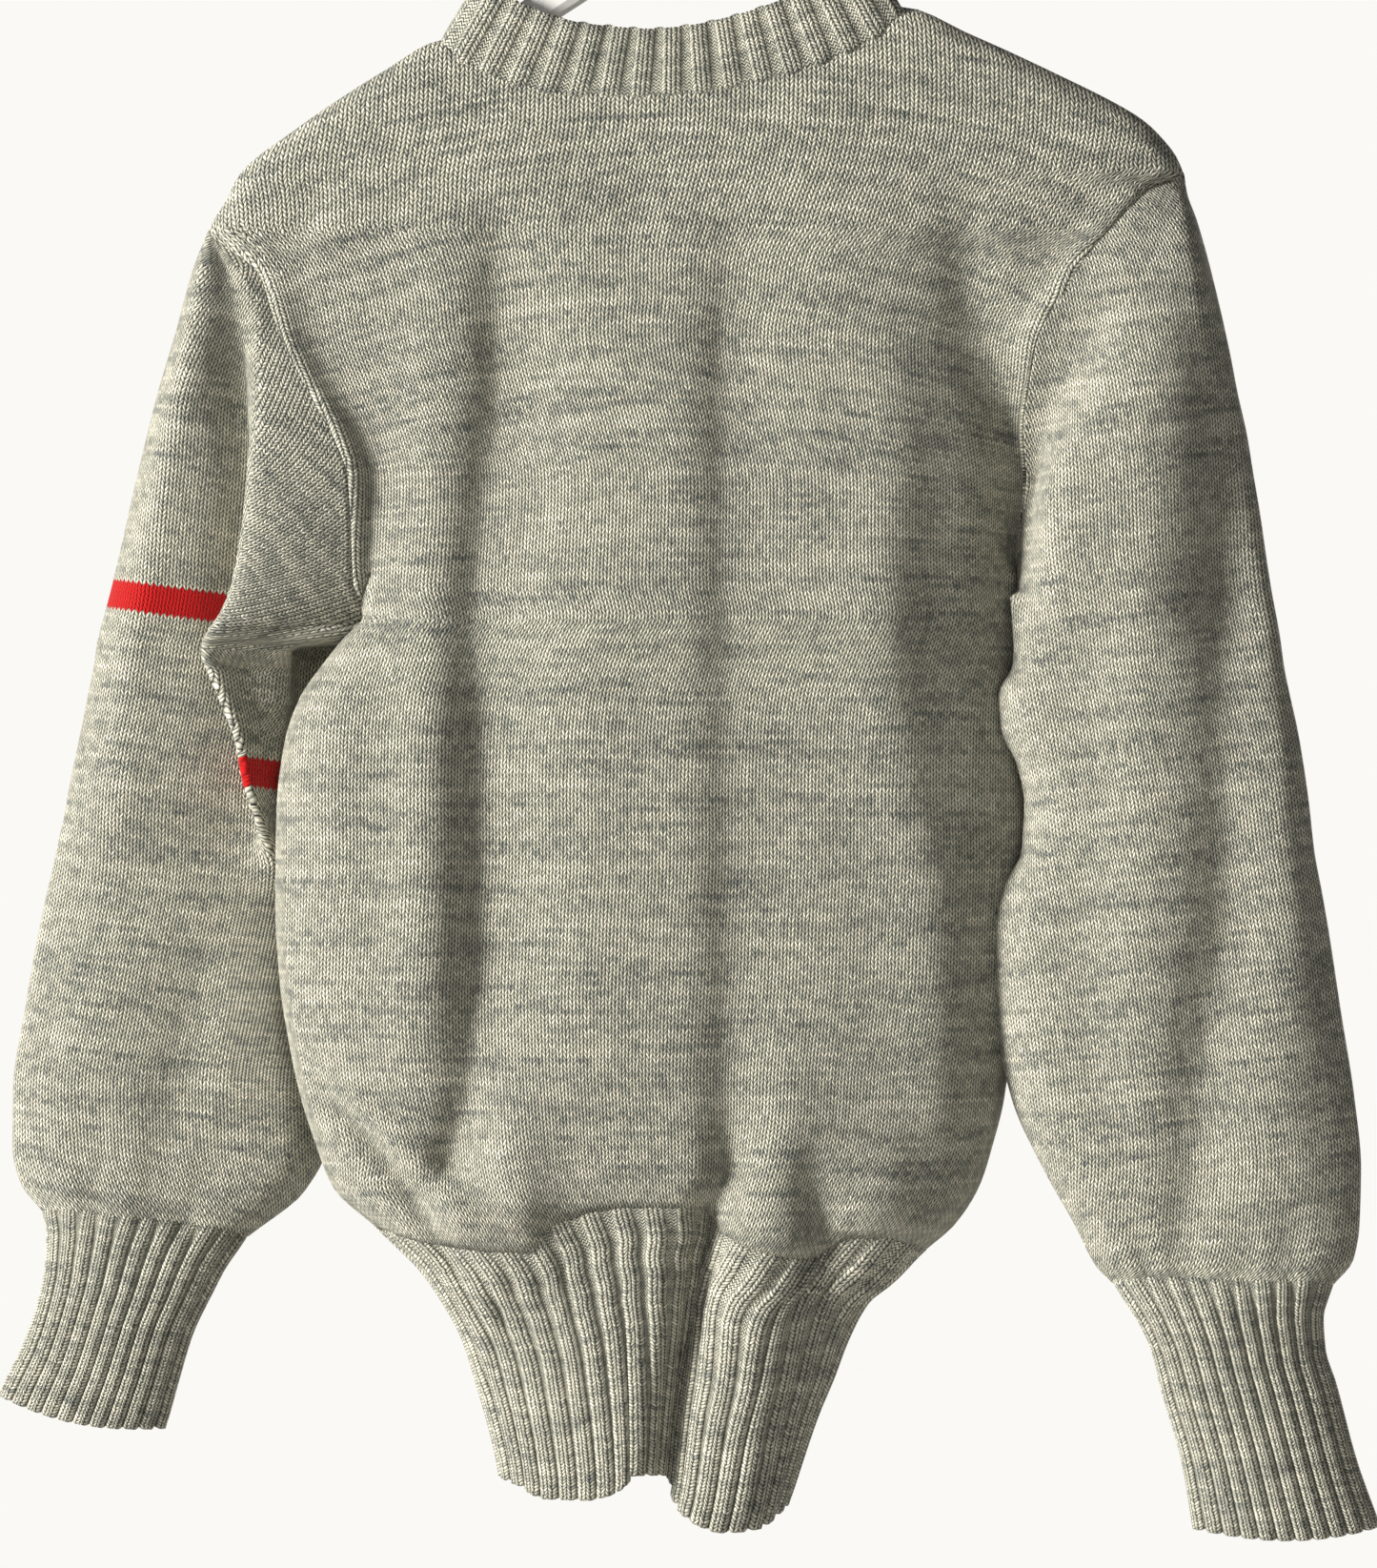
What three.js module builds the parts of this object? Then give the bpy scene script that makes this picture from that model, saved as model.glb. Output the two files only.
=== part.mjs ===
// A knitted wool pullover on a wooden hanger, seen from its back.
// Millimetres, +Z up. The origin is where the hook rests on a rail. The garment's back faces -Y.
// "down" is the distance below the origin, so z = -down.
import * as THREE from "three";

// Driving sizes of the knitting
const WALL = 2; // thickness of the plain knit
const SEAM_GAP = 0.32; // between two pieces sewn together
const RIB_SEAM_GAP = 0.36; // the same where a ribbed band is sewn to a gathered edge
const RIB_WALL = 1.8; // thickness of the ribbing in its grooves
const RIB_HEIGHT = 1.4; // how far a rib stands out of its groove
const HEM_RIBS = 44;
const CUFF_RIBS = 22;
const NECK_RIBS = 38;

// How the body hangs
const FOLD_RADIUS = 11; // cloth turning over the hanger at the shoulder
const ARMHOLE_GAP = 21; // half the opening of an armhole, front to back
const ARMHOLE_ROUND = 0.55; // under 1 opens it quickly below the shoulder
const ARMHOLE_SHARE = 0.39; // armhole height as a share of the body's side
const SIDE_FULLNESS = 0.8; // under 1 is boxier than an ellipse
const SHOULDER_FULLNESS = 0.2; // the same where the cloth lies over the hanger

// Hanger and hook
const HANGER_THICK = 11;
const HANGER_BEVEL = 4;
const HANGER_TALL = 17;
const HANGER_SEAT = 3.7; // from the outside of the shoulder line down to the wood
const HANGER_LEFT = -187;
const HANGER_RIGHT = 200;
const HANGER_APEX_DOWN = 84;
const HOOK_WIRE = 1.9; // radius of the wire
const HOOK_RADIUS = 21;

const WOOL = { color: 0x9e998a, roughness: 0.95, metalness: 0 };
const PAINTED_WOOD = { color: 0xf2f0ea, roughness: 0.45, metalness: 0 };
const STEEL = { color: 0xb9bbbd, roughness: 0.3, metalness: 1 };

const lerp = (a, b, t) => a + (b - a) * t;
const clamp = (t) => Math.min(1, Math.max(0, t));
const ease = (t) => clamp(t) ** 2 * (3 - 2 * clamp(t));

// A table with named columns, read by its first column. Values between rows follow a monotone curve.
function table(names, rows) {
  const columns = names.split(" ");
  const key = rows.map((row) => row[0]);
  return (name, at) => {
    const value = rows.map((row) => row[columns.indexOf(name)]);
    const last = key.length - 1;
    if (at <= key[0]) return value[0];
    if (at >= key[last]) return value[last];
    const i = key.findIndex((k) => k > at) - 1;
    const slope = (j) => (value[j + 1] - value[j]) / (key[j + 1] - key[j]);
    const tangent = (j) => {
      if (j === 0 || j === last) return slope(Math.min(j, last - 1));
      const before = slope(j - 1);
      const after = slope(j);
      return before * after <= 0 ? 0 : (2 * before * after) / (before + after);
    };
    const step = key[i + 1] - key[i];
    const t = (at - key[i]) / step;
    return (
      value[i] * (2 * t ** 3 - 3 * t ** 2 + 1) +
      tangent(i) * step * (t ** 3 - 2 * t ** 2 + t) +
      value[i + 1] * (3 * t ** 2 - 2 * t ** 3) +
      tangent(i + 1) * step * (t ** 3 - t ** 2)
    );
  };
}

// Outline of the body and the hem rib from the shoulder seam's end down
const SIDE_LEFT = table("down x", [
  [229, -210], [238.5, -198], [248, -187.5], [264.5, -182], [280.5, -176], [301.5, -164.5], [321, -153.5],
  [337, -148], [353, -147], [385, -146], [399, -141], [408, -149], [420, -158.5], [434.5, -168.5],
  [453.5, -175], [483, -178.5], [525, -179], [558.5, -177], [588, -172.5], [609, -168], [628, -162],
  [647, -154.5], [665, -135], [680.5, -117.5], [697, -105.5], [714, -96.5], [731, -91], [764.5, -82],
  [775, -80],
]);
const SIDE_RIGHT = table("down x", [
  [203, 216.5], [208.5, 201.5], [214, 197.5], [225, 187.5], [241.5, 173.5], [258, 163.5], [268, 156.5],
  [279, 152], [292, 150], [317, 147.5], [340, 149], [361, 147.5], [387, 146], [420, 147], [462, 152],
  [500, 154], [545, 150], [578, 144], [598, 139.5], [613, 137], [630, 132.5], [647, 127], [663.5, 116.5],
  [676, 102],
  [689, 87.5], [697, 77.5], [714, 68], [731, 61.5], [747.5, 54.5], [764.5, 48.5], [781, 43], [794, 38],
]);
// The shoulder line across the garment, then the two necklines cut into it
const SHOULDER = table("x down", [
  [-210, 229], [-206.5, 222.5], [-201.5, 214.5], [-197, 205], [-189, 197], [-176, 187.5], [-160.5, 176.5],
  [-134, 159.5], [-108, 145.5], [93.5, 131], [123.5, 143], [159.5, 159.5], [193, 176.5], [201, 182],
  [207.5, 188.5], [213, 195.5], [216.5, 203],
]);
const NECK_BACK = table("x down", [
  [-108, 145.5], [-107.2, 148.2], [-93, 157.5], [-76.5, 164.5], [-51, 169.5], [-26, 170], [-1, 168.5],
  [24.5, 164.5], [54, 157], [77, 147], [92.7, 134.5], [93.5, 131],
]);
const NECK_FRONT = table("x down", [
  [-108, 145.5], [-107.2, 149.5], [-98, 168], [-82, 190], [-56, 208], [-8, 216], [40, 206], [66, 186],
  [83, 160], [92.7, 135.5], [93.5, 131],
]);
// Where the plain knit changes to the hem rib, and the rib's bottom edge
const HEM_JOIN = table("x down", [
  [-135, 665], [-112, 671], [-77.5, 673], [-62.5, 662], [-27.5, 654], [-2.5, 654], [9.5, 667],
  [32, 674.5], [51, 677], [60.5, 668], [75, 668], [102, 676],
]);
const HEM_EDGE = table("x down", [
  [-80, 774], [-72, 777], [-62.5, 782], [-44, 782], [-30, 778], [-25, 771], [-8, 774], [-3, 784],
  [5.5, 791.5], [19, 796], [35, 794.5], [44, 786],
]);
// Depth of the back and the front from the side seams, by the distance below the shoulder line
const DEPTH = table("below back front", [
  [0, 11, 11], [60, 18, 16], [150, 31, 26], [280, 42, 36], [420, 46, 41], [480, 47, 42], [510, 43, 38],
  [532, 36, 33], [640, 31, 31],
]);
// The side seams stand nearer (-) or farther (+) than the hanger
const SIDE_SEAM = table("down left right", [
  [229, 0, 0], [300, -5, 2], [390, -12, 3], [430, -14, 8], [560, -15, 8], [660, -8, 2], [790, -6, -6],
]);
// Long soft troughs (depth over 0) and ridges (under 0) of the two panels, from one end to the other
const BACK_FOLDS = [
  { from: 225, to: 655, x0: -93, x1: -104, width: 15, depth: 10 },
  { from: 215, to: 700, x0: 10, x1: 12, width: 15, depth: 7 },
  { from: 640, to: 830, x0: 8, x1: -14, width: 9, depth: 15 },
  { from: 205, to: 400, x0: 112, x1: 122, width: 14, depth: 8 },
  { from: 330, to: 620, x0: 126, x1: 118, width: 22, depth: 10 },
  { from: 600, to: 700, x0: 52, x1: 60, width: 8, depth: 5 },
  { from: 560, to: 860, x0: 40, x1: 20, width: 18, depth: -7 },
  { from: 560, to: 690, x0: -85, x1: -72, width: 16, depth: -6 },
  { from: 590, to: 680, x0: -150, x1: -122, width: 7, depth: 5 },
];
const FRONT_FOLDS = [
  { from: 250, to: 650, x0: -70, x1: -60, width: 15, depth: -8 },
  { from: 240, to: 690, x0: 60, x1: 52, width: 16, depth: -8 },
  { from: 420, to: 800, x0: -8, x1: -16, width: 14, depth: -7 },
];

// Left sleeve: sections at each height. The cloth under the arm is folded forward: its fold edge is the ridge,
// the valley lies behind it, inner is the right edge of the folded strip and lobe the hidden cloth behind it.
const LEFT_SLEEVE = table("down outer ridge ridgeY valley valleyY inner lobe fold drop", [
  [229, -210, -210, 0, -210, 0, -210, -210, 1, 0],
  [238.5, -213.5, -204, -7, -207, -2, -198, -198, 1, 0],
  [248, -216.5, -194, -13, -198, -3, -187.5, -187.5, 1, 0],
  [273, -223, -188, -22, -190, -3, -179, -179, 1, 0],
  [301.5, -231.5, -190.5, -29, -189, -1, -164.5, -164.5, 1, 0],
  [337, -241, -193.5, -34, -189, 1, -148, -148, 1, 0],
  [369, -249, -197, -38, -191, 2, -147, -147, 1, 0],
  [386.5, -253.5, -200.5, -40, -193, 2, -146, -146, 1, 0],
  [399, -257, -206, -40, -195, 2, -141, -146, 1, 0],
  [406, -259, -209.5, -38, -196, 2, -158, -149, 1, 0],
  [412, -260, -212, -36, -196, 2, -177, -151, 1, 0],
  [421, -261.5, -212, -34, -195, 2, -179, -153, 1, 0],
  [435, -264.5, -205.5, -31, -192, 3, -179, -155, 1, 0],
  [452, -268, -198.5, -28, -190, 3, -180, -163, 1, 0],
  [470, -272, -194, -25, -188, 4, -181.5, -166, 0.98, 0],
  [486, -275, -191, -21, -186, 5, -183, -169, 0.85, 0],
  [496, -277.5, -190, -17, -185, 6, -184, -170, 0.62, 0],
  [508, -280, -189, -12, -184, 6, -184, -170, 0.3, 0],
  [530, -285, -188, -8, -184, 6, -184, -170, 0, 0],
  [571, -292.5, -188, -8, -184, 6, -184, -170, 0, 0],
  [609, -298, -188, -8, -184, 6, -184, -164, 0, 0],
  [632, -298, -188, -8, -184, 6, -184, -163.5, 0, 1],
  [647, -294.5, -188, -8, -184, 6, -184, -173, 0, 5],
  [659, -285, -188, -8, -184, 6, -184, -197, 0, 12],
]);
// Right sleeve: the valley runs down from the shoulder beside the seam, and the ridge hangs over the body's side.
const RIGHT_SLEEVE = table("down outer ridge ridgeY valley valleyY inner lobe fold drop", [
  [203, 216.5, 216.5, 0, 216.5, 0, 216.5, 216.5, 1, 0],
  [213.5, 218, 209, -8, 203, -7, 198, 198, 1, 0],
  [224, 221.5, 205, -14, 196, -11, 188, 188, 1, 0],
  [251, 228.5, 198, -24, 181, -14, 167.5, 167.5, 1, 0],
  [281.5, 235.5, 190, -32, 174, -14, 151.5, 151.5, 1, 0],
  [300, 239, 183, -36, 163, -12, 149, 149, 1, 0],
  [320, 243.5, 172, -38, 156, -9, 147.5, 147.5, 1, 0],
  [336, 246, 163, -38, 154.5, -7, 148.5, 148.5, 1, 0],
  [355, 249, 160, -38, 152, -10, 148, 148, 1, 0],
  [374, 251.5, 160, -38, 151, -13, 145, 146, 1, 0],
  [387.5, 253.5, 160, -38, 149, -14, 143, 144, 1, 0],
  [396, 255, 160, -38, 149, -18, 143, 146, 0.8, 0],
  [408, 257, 160, -38, 149, -22, 143, 146, 0.5, 0],
  [420, 258.5, 160, -38, 149, -25, 143, 144.5, 0.2, 0],
  [433, 261, 160, -38, 149, -26, 143, 137.5, 0, 0],
  [447, 264, 160, -38, 149, -26, 143, 138.5, 0, 0],
  [462, 266.5, 160, -38, 149, -26, 143, 146, 0, 0],
  [480, 269, 160, -38, 149, -26, 143, 149.5, 0, 0],
  [502, 271.5, 160, -38, 149, -26, 143, 148, 0, 0],
  [518, 274.5, 160, -38, 149, -26, 143, 138.5, 0, 0],
  [535, 277.5, 160, -38, 149, -26, 143, 133.5, 0, 0],
  [571, 283, 160, -38, 149, -26, 143, 136, 0, 0],
  [609, 289, 160, -38, 149, -26, 143, 144, 0, 0],
  [640, 292, 160, -38, 149, -26, 143, 158, 0, 0],
  [664, 291.5, 160, -38, 149, -26, 143, 172, 0, 1],
  [679, 289, 160, -38, 149, -26, 143, 180, 0, 2],
  [689, 281, 160, -38, 149, -26, 143, 187.5, 0, 0],
]);
// Middle and half thickness of the sleeves below the folds, and how far out of the middle their long folds lie
const LEFT_BULK = table("down middle half front", [
  [229, 0, 2, 3], [245, 2, 6, 14], [265, 4, 10, 18], [337, 9, 15, 26], [399, 13, 17, 31], [503, 17, 18, 34], [609, 18, 20, 38],
  [659, 12, 15, 28],
]);
const RIGHT_BULK = table("down middle half front", [
  [203, 0, 2, 3], [230, -2, 10, 12], [300, -7, 18, 19], [355, -12, 20, 15], [387, -15, 21, 8], [430, -19, 21, 2],
  [480, -22, 21, -1], [609, -21, 22, 1], [689, -17, 15, -2],
]);
// Cuffs: left and right edge, half thickness and middle at each height down the outer edge
const LEFT_CUFF = table("down left right half middle tilt", [
  [659, -285, -197, 15, 12, 12], [669, -281.5, -206, 14, 12, 13], [684, -282, -214.5, 13, 11, 14],
  [700, -285, -222, 12, 10, 14], [720, -291.5, -228, 12, 9, 14], [733, -298, -231.5, 12, 8, 14],
  [742, -302.5, -234, 12, 8, 13],
]);
const RIGHT_CUFF = table("down left right half middle tilt", [
  [689, 187.5, 281, 15, -17, 0], [704, 198.5, 275, 14, -17, 0], [719, 205.5, 276, 13, -16, 0],
  [735, 209.5, 281, 12, -15, 0], [768, 219, 290, 12, -13, 0], [797, 224, 300.5, 12, -11, 0],
]);

// Mesh rows and columns of the panels
const ARMHOLE_ROWS = [0, 0.02, 0.057, 0.114, 0.26, 0.427, 0.635, 0.825, 0.926, 1];
const LOWER_ROWS = [0.06, 0.14, 0.24, 0.36, 0.5, 0.64, 0.78, 0.88, 0.95, 1];
const BODY_ROWS = [
  ...ARMHOLE_ROWS.map((share) => share * ARMHOLE_SHARE),
  ...LOWER_ROWS.map((share) => lerp(ARMHOLE_SHARE, 1, share)),
];
const TIP_LEFT = -210;
const TIP_LEFT_DOWN = 229;
const TIP_RIGHT = 216.5;
const TIP_RIGHT_DOWN = 203;
const NECK_LEFT = -108;
const NECK_RIGHT = 93.5;
const JOIN_LEFT = -135;
const JOIN_LEFT_DOWN = 665;
const JOIN_RIGHT = 102;
const JOIN_RIGHT_DOWN = 676;
const SHOULDER_COLUMNS = 8;
const SHOULDER_SPREAD = 1.6; // columns lie closer towards the armhole
const NECK_COLUMNS = [
  0, 0.004, 0.02, 0.07, 0.14, 0.22, 0.3, 0.38, 0.46, 0.54, 0.62, 0.7, 0.78, 0.86, 0.93, 0.98, 0.996, 1,
];
const NECK_START = (NECK_LEFT - TIP_LEFT) / (TIP_RIGHT - TIP_LEFT);
const NECK_END = (NECK_RIGHT - TIP_LEFT) / (TIP_RIGHT - TIP_LEFT);

function bodyColumns() {
  const spread = Array.from({ length: SHOULDER_COLUMNS }, (_, k) => (k / SHOULDER_COLUMNS) ** SHOULDER_SPREAD);
  return [
    ...spread.map((share) => NECK_START * share),
    ...NECK_COLUMNS.map((share) => lerp(NECK_START, NECK_END, share)),
    ...spread.reverse().map((share) => 1 - (1 - NECK_END) * share),
  ];
}

function foldAt(folds, x, down) {
  let sum = 0;
  for (const fold of folds) {
    const t = (down - fold.from) / (fold.to - fold.from);
    if (t <= 0 || t >= 1) continue;
    const along = ease(t * 4) * ease((1 - t) * 4);
    sum += fold.depth * along * Math.exp(-(((x - lerp(fold.x0, fold.x1, t)) / fold.width) ** 2));
  }
  return sum;
}

// A point of the body or hem rib. face is -1 for the back and 1 for the front, across runs from the left side
// seam (0) to the right (1), and armhole is how far down the armhole the point is, from 0 to 1.
function torso(face, across, down, armhole) {
  const x = lerp(SIDE_LEFT("x", down), SIDE_RIGHT("x", down), across);
  const topX = lerp(TIP_LEFT, TIP_RIGHT, across);
  const below = Math.max(0, down - SHOULDER("down", topX));
  const turn = Math.sqrt(1 - (1 - Math.min(1, below / FOLD_RADIUS)) ** 2);
  const deep = DEPTH(face < 0 ? "back" : "front", below) * turn;
  const gap = armhole < 1 ? ARMHOLE_GAP * Math.sin(Math.PI * armhole) ** ARMHOLE_ROUND : 0;
  const fullness = lerp(SHOULDER_FULLNESS, SIDE_FULLNESS, ease(below / 150));
  const full = (2 * Math.sqrt(Math.max(0, across * (1 - across)))) ** fullness;
  const side = lerp(SIDE_SEAM("left", down), SIDE_SEAM("right", down), across);
  const fold = foldAt(face < 0 ? BACK_FOLDS : FRONT_FOLDS, x, down) * turn * full;
  return new THREE.Vector3(x, side + face * (gap * (1 - full) ** 1.2 + deep * full) + fold, -down);
}

function bodyPanel(face) {
  const neck = face < 0 ? NECK_BACK : NECK_FRONT;
  const columns = bodyColumns();
  return BODY_ROWS.map((share, row) =>
    columns.map((across) => {
      const topX = lerp(TIP_LEFT, TIP_RIGHT, across);
      const inNeck = across > NECK_START && across < NECK_END;
      const top = inNeck ? neck("down", topX) : SHOULDER("down", topX);
      const bottom = HEM_JOIN("down", lerp(JOIN_LEFT, JOIN_RIGHT, across));
      const armhole = row < ARMHOLE_ROWS.length ? ARMHOLE_ROWS[row] : 1;
      return torso(face, across, lerp(top, bottom, share), armhole);
    }),
  );
}

// A smooth curve through the points of one sleeve section, with a few steps between each two
function sectionCurve(points, closed, steps) {
  const count = points.length;
  const at = (i) => (closed ? points[(i + count) % count] : points[Math.min(count - 1, Math.max(0, i))]);
  const made = [];
  const segments = closed ? count : count - 1;
  for (let i = 0; i < segments; i++)
    for (let k = 0; k < steps; k++) {
      const curve = new THREE.CatmullRomCurve3([at(i - 1), at(i), at(i + 1), at(i + 2)], false, "centripetal");
      made.push(k === 0 ? at(i).clone() : curve.getPoint((1 + k / steps) / 3));
    }
  made.push(at(segments).clone());
  return made;
}

// Angles round a plain section, from the seam at the inner edge, over the back to the outer edge and round the front
const PLAIN_ANGLES = [0, 38, 66, 112, 180, 236, 280, 312, 332, 347];

function sleeveSection(side, down, seamBack, seamFront) {
  const sleeve = side < 0 ? LEFT_SLEEVE : RIGHT_SLEEVE;
  const bulk = side < 0 ? LEFT_BULK : RIGHT_BULK;
  const read = (name) => sleeve(name, down);
  const outer = read("outer");
  const inner = read("inner");
  const lobe = read("lobe");
  const ridge = read("ridge");
  const valley = read("valley");
  const middle = bulk("middle", down);
  const half = bulk("half", down);
  const front = bulk("front", down);
  const drop = read("drop");
  const pt = (x, y) => new THREE.Vector3(x, y, -down - (drop * (x - outer)) / (lobe - outer || 1));
  const plain = PLAIN_ANGLES.map((angle) => {
    const a = (angle * Math.PI) / 180;
    return pt(lobe + ((outer - lobe) * (1 - Math.cos(a))) / 2, middle - half * Math.sin(a));
  });
  const open = seamBack && seamBack.distanceTo(seamFront) > 0.5;
  const strip = side < 0 ? (ridge + inner) / 2 : inner;
  const start = seamBack ?? pt(strip, side < 0 ? read("ridgeY") - 2 : middle + 4);
  const end = open ? seamFront : start;
  const first = side < 0 ? pt(ridge, read("ridgeY")) : pt(valley, read("valleyY"));
  const second = side < 0 ? pt(valley, read("valleyY")) : pt(ridge, read("ridgeY"));
  const frontInner = pt(lerp(outer, lobe, 0.75), front - 1);
  const folded = [
    start,
    first,
    second,
    pt(lerp(outer, second.x, 0.5), (side < 0 ? read("valleyY") - 4 : read("ridgeY") + 5) * clamp(half / 6)),
    pt(outer, middle),
    pt(lerp(outer, lobe, 0.35), front),
    frontInner,
  ];
  if (open || seamBack || side > 0) {
    for (const t of [0.35, 0.65, 0.85]) folded.push(frontInner.clone().lerp(end, t));
  } else {
    folded.push(pt(lobe, 26), pt(inner + 5, 16), pt(inner, read("ridgeY") + 9));
  }
  const blend = seamBack ? 1 : read("fold");
  const mixed = folded.map((point, i) => point.clone().lerp(plain[i], 1 - blend));
  if (open) mixed.push(end);
  if (seamBack) mixed[0] = seamBack;
  return { points: mixed, closed: !open };
}

const LEFT_STATIONS = [406, 412, 421, 435, 452, 470, 486, 496, 508, 530, 571, 609, 632, 647, 659];
const RIGHT_STATIONS = [396, 408, 420, 433, 447, 462, 480, 502, 518, 535, 571, 609, 640, 664, 679, 689];
const SECTION_STEPS = 2;

function sleeve(side) {
  const across = side < 0 ? 0 : 1;
  const tipDown = side < 0 ? TIP_LEFT_DOWN : TIP_RIGHT_DOWN;
  const joinDown = side < 0 ? JOIN_LEFT_DOWN : JOIN_RIGHT_DOWN;
  const rows = ARMHOLE_ROWS.map((share) => {
    const down = lerp(tipDown, joinDown, share * ARMHOLE_SHARE);
    const back = torso(-1, across, down, share);
    const front = torso(1, across, down, share);
    if (share === 0) return Array.from({ length: PLAIN_ANGLES.length * SECTION_STEPS + 1 }, () => back.clone());
    const section = sleeveSection(side, down, back, front);
    return sectionCurve(section.points, section.closed, SECTION_STEPS);
  });
  for (const down of side < 0 ? LEFT_STATIONS : RIGHT_STATIONS) {
    const section = sleeveSection(side, down, null, null);
    rows.push(sectionCurve(section.points, true, SECTION_STEPS));
  }
  return rows;
}

// Welding: points closer than a few microns are one
const keyOf = (p) => [p.x, p.y, p.z].map((v) => Math.round(v * 200)).join(",");

// The quads of a grid of points, turned so that they face away from the garment's inside
function gridFaces(grid, flip) {
  const faces = [];
  for (let i = 0; i + 1 < grid.length; i++)
    for (let j = 0; j + 1 < grid[i].length; j++) {
      const quad = [grid[i][j], grid[i + 1][j], grid[i + 1][j + 1], grid[i][j + 1]];
      faces.push(flip ? quad.reverse() : quad);
    }
  return faces;
}

// Sewn edges share their normals, except at the underarm, where the body and the sleeve part as in a crease
const underarmLeft = torso(-1, 0, lerp(TIP_LEFT_DOWN, JOIN_LEFT_DOWN, ARMHOLE_SHARE), 1);
const underarmRight = torso(-1, 1, lerp(TIP_RIGHT_DOWN, JOIN_RIGHT_DOWN, ARMHOLE_SHARE), 1);
const underarms = new Set([underarmLeft, underarmRight].map(keyOf));
const normalKey = (point, group) => keyOf(point) + (underarms.has(keyOf(point)) ? group : "");

// Adds each face's normal to its corners, in a map shared by every piece
function addNormals(faces, normals, group) {
  for (const [a, b, c, d] of faces) {
    const normal = new THREE.Vector3().subVectors(c, a).cross(new THREE.Vector3().subVectors(d, b));
    for (const key of new Set([a, b, c, d].map((p) => normalKey(p, group)))) {
      if (!normals.has(key)) normals.set(key, new THREE.Vector3());
      normals.get(key).add(normal);
    }
  }
}

// A closed wall from faces: the outer skin, the same skin moved inwards, and the strips round its open edges
function wallGeometry(faces, normals, thickness, group) {
  const ids = new Map();
  const outer = [];
  const polygons = [];
  for (const face of faces) {
    const corners = [];
    for (const point of face) {
      const key = keyOf(point);
      if (!ids.has(key)) {
        ids.set(key, outer.length);
        outer.push({ at: point.clone(), n: normals.get(normalKey(point, group)).clone().normalize() });
      }
      if (!corners.includes(ids.get(key))) corners.push(ids.get(key));
    }
    if (corners.length > 2) polygons.push(corners);
  }
  const edges = new Map();
  for (const corners of polygons)
    corners.forEach((a, i) => edges.set(a + "_" + corners[(i + 1) % corners.length], corners));
  const open = [...edges.keys()].map((e) => e.split("_").map(Number)).filter(([a, b]) => !edges.has(b + "_" + a));
  const pull = outer.map(() => new THREE.Vector3());
  for (const [a, b] of open) {
    const along = new THREE.Vector3().subVectors(outer[b].at, outer[a].at).normalize();
    const inward = new THREE.Vector3().crossVectors(outer[a].n, along).normalize();
    pull[a].add(inward);
    pull[b].add(inward);
  }
  outer.forEach((v, i) => {
    if (pull[i].lengthSq() > 0.01) v.at.addScaledVector(pull[i].normalize(), SEAM_GAP / 2);
  });
  const position = [];
  const count = outer.length;
  for (const v of outer) position.push(v.at.x, v.at.y, v.at.z);
  for (const v of outer) {
    const p = v.at.clone().addScaledVector(v.n, -thickness);
    position.push(p.x, p.y, p.z);
  }
  const index = [];
  for (const corners of polygons)
    for (let i = 1; i + 1 < corners.length; i++) {
      const [a, b, c] = [corners[0], corners[i], corners[i + 1]];
      index.push(a, b, c, a + count, c + count, b + count);
    }
  for (const [a, b] of open) {
    const [c, d] = [a + count, b + count];
    // The same diagonal on both sides of a seam
    if (outer[a].at.z > outer[b].at.z) index.push(b, a, d, a, c, d);
    else index.push(b, a, c, b, c, d);
  }
  const geometry = new THREE.BufferGeometry();
  geometry.setAttribute("position", new THREE.Float32BufferAttribute(position, 3));
  geometry.setIndex(index);
  geometry.computeVertexNormals();
  return geometry;
}

// Points and thickness directions spaced evenly along a polyline, each corner of which takes the nearest of them
function evenly(line, count, closed) {
  const path = closed ? [...line, line[0]] : line;
  const reach = [0];
  for (let i = 1; i < path.length; i++) reach.push(reach[i - 1] + path[i].at.distanceTo(path[i - 1].at));
  const total = reach[reach.length - 1];
  const wants = Array.from({ length: closed ? count : count + 1 }, (_, k) => (total * k) / count);
  for (const corner of reach.slice(1, -1)) {
    const nearest = Math.round((corner / total) * count);
    if (nearest > 0 && nearest < count) wants[nearest] = corner;
  }
  return wants.map((want) => {
    let i = reach.findIndex((r) => r >= want - 1e-9) - 1;
    i = Math.min(Math.max(i, 0), path.length - 2);
    const t = (want - reach[i]) / (reach[i + 1] - reach[i] || 1);
    const n = path[i].n ? path[i].n.clone().lerp(path[i + 1].n, t).normalize() : null;
    return { at: path[i].at.clone().lerp(path[i + 1].at, t), n };
  });
}

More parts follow.
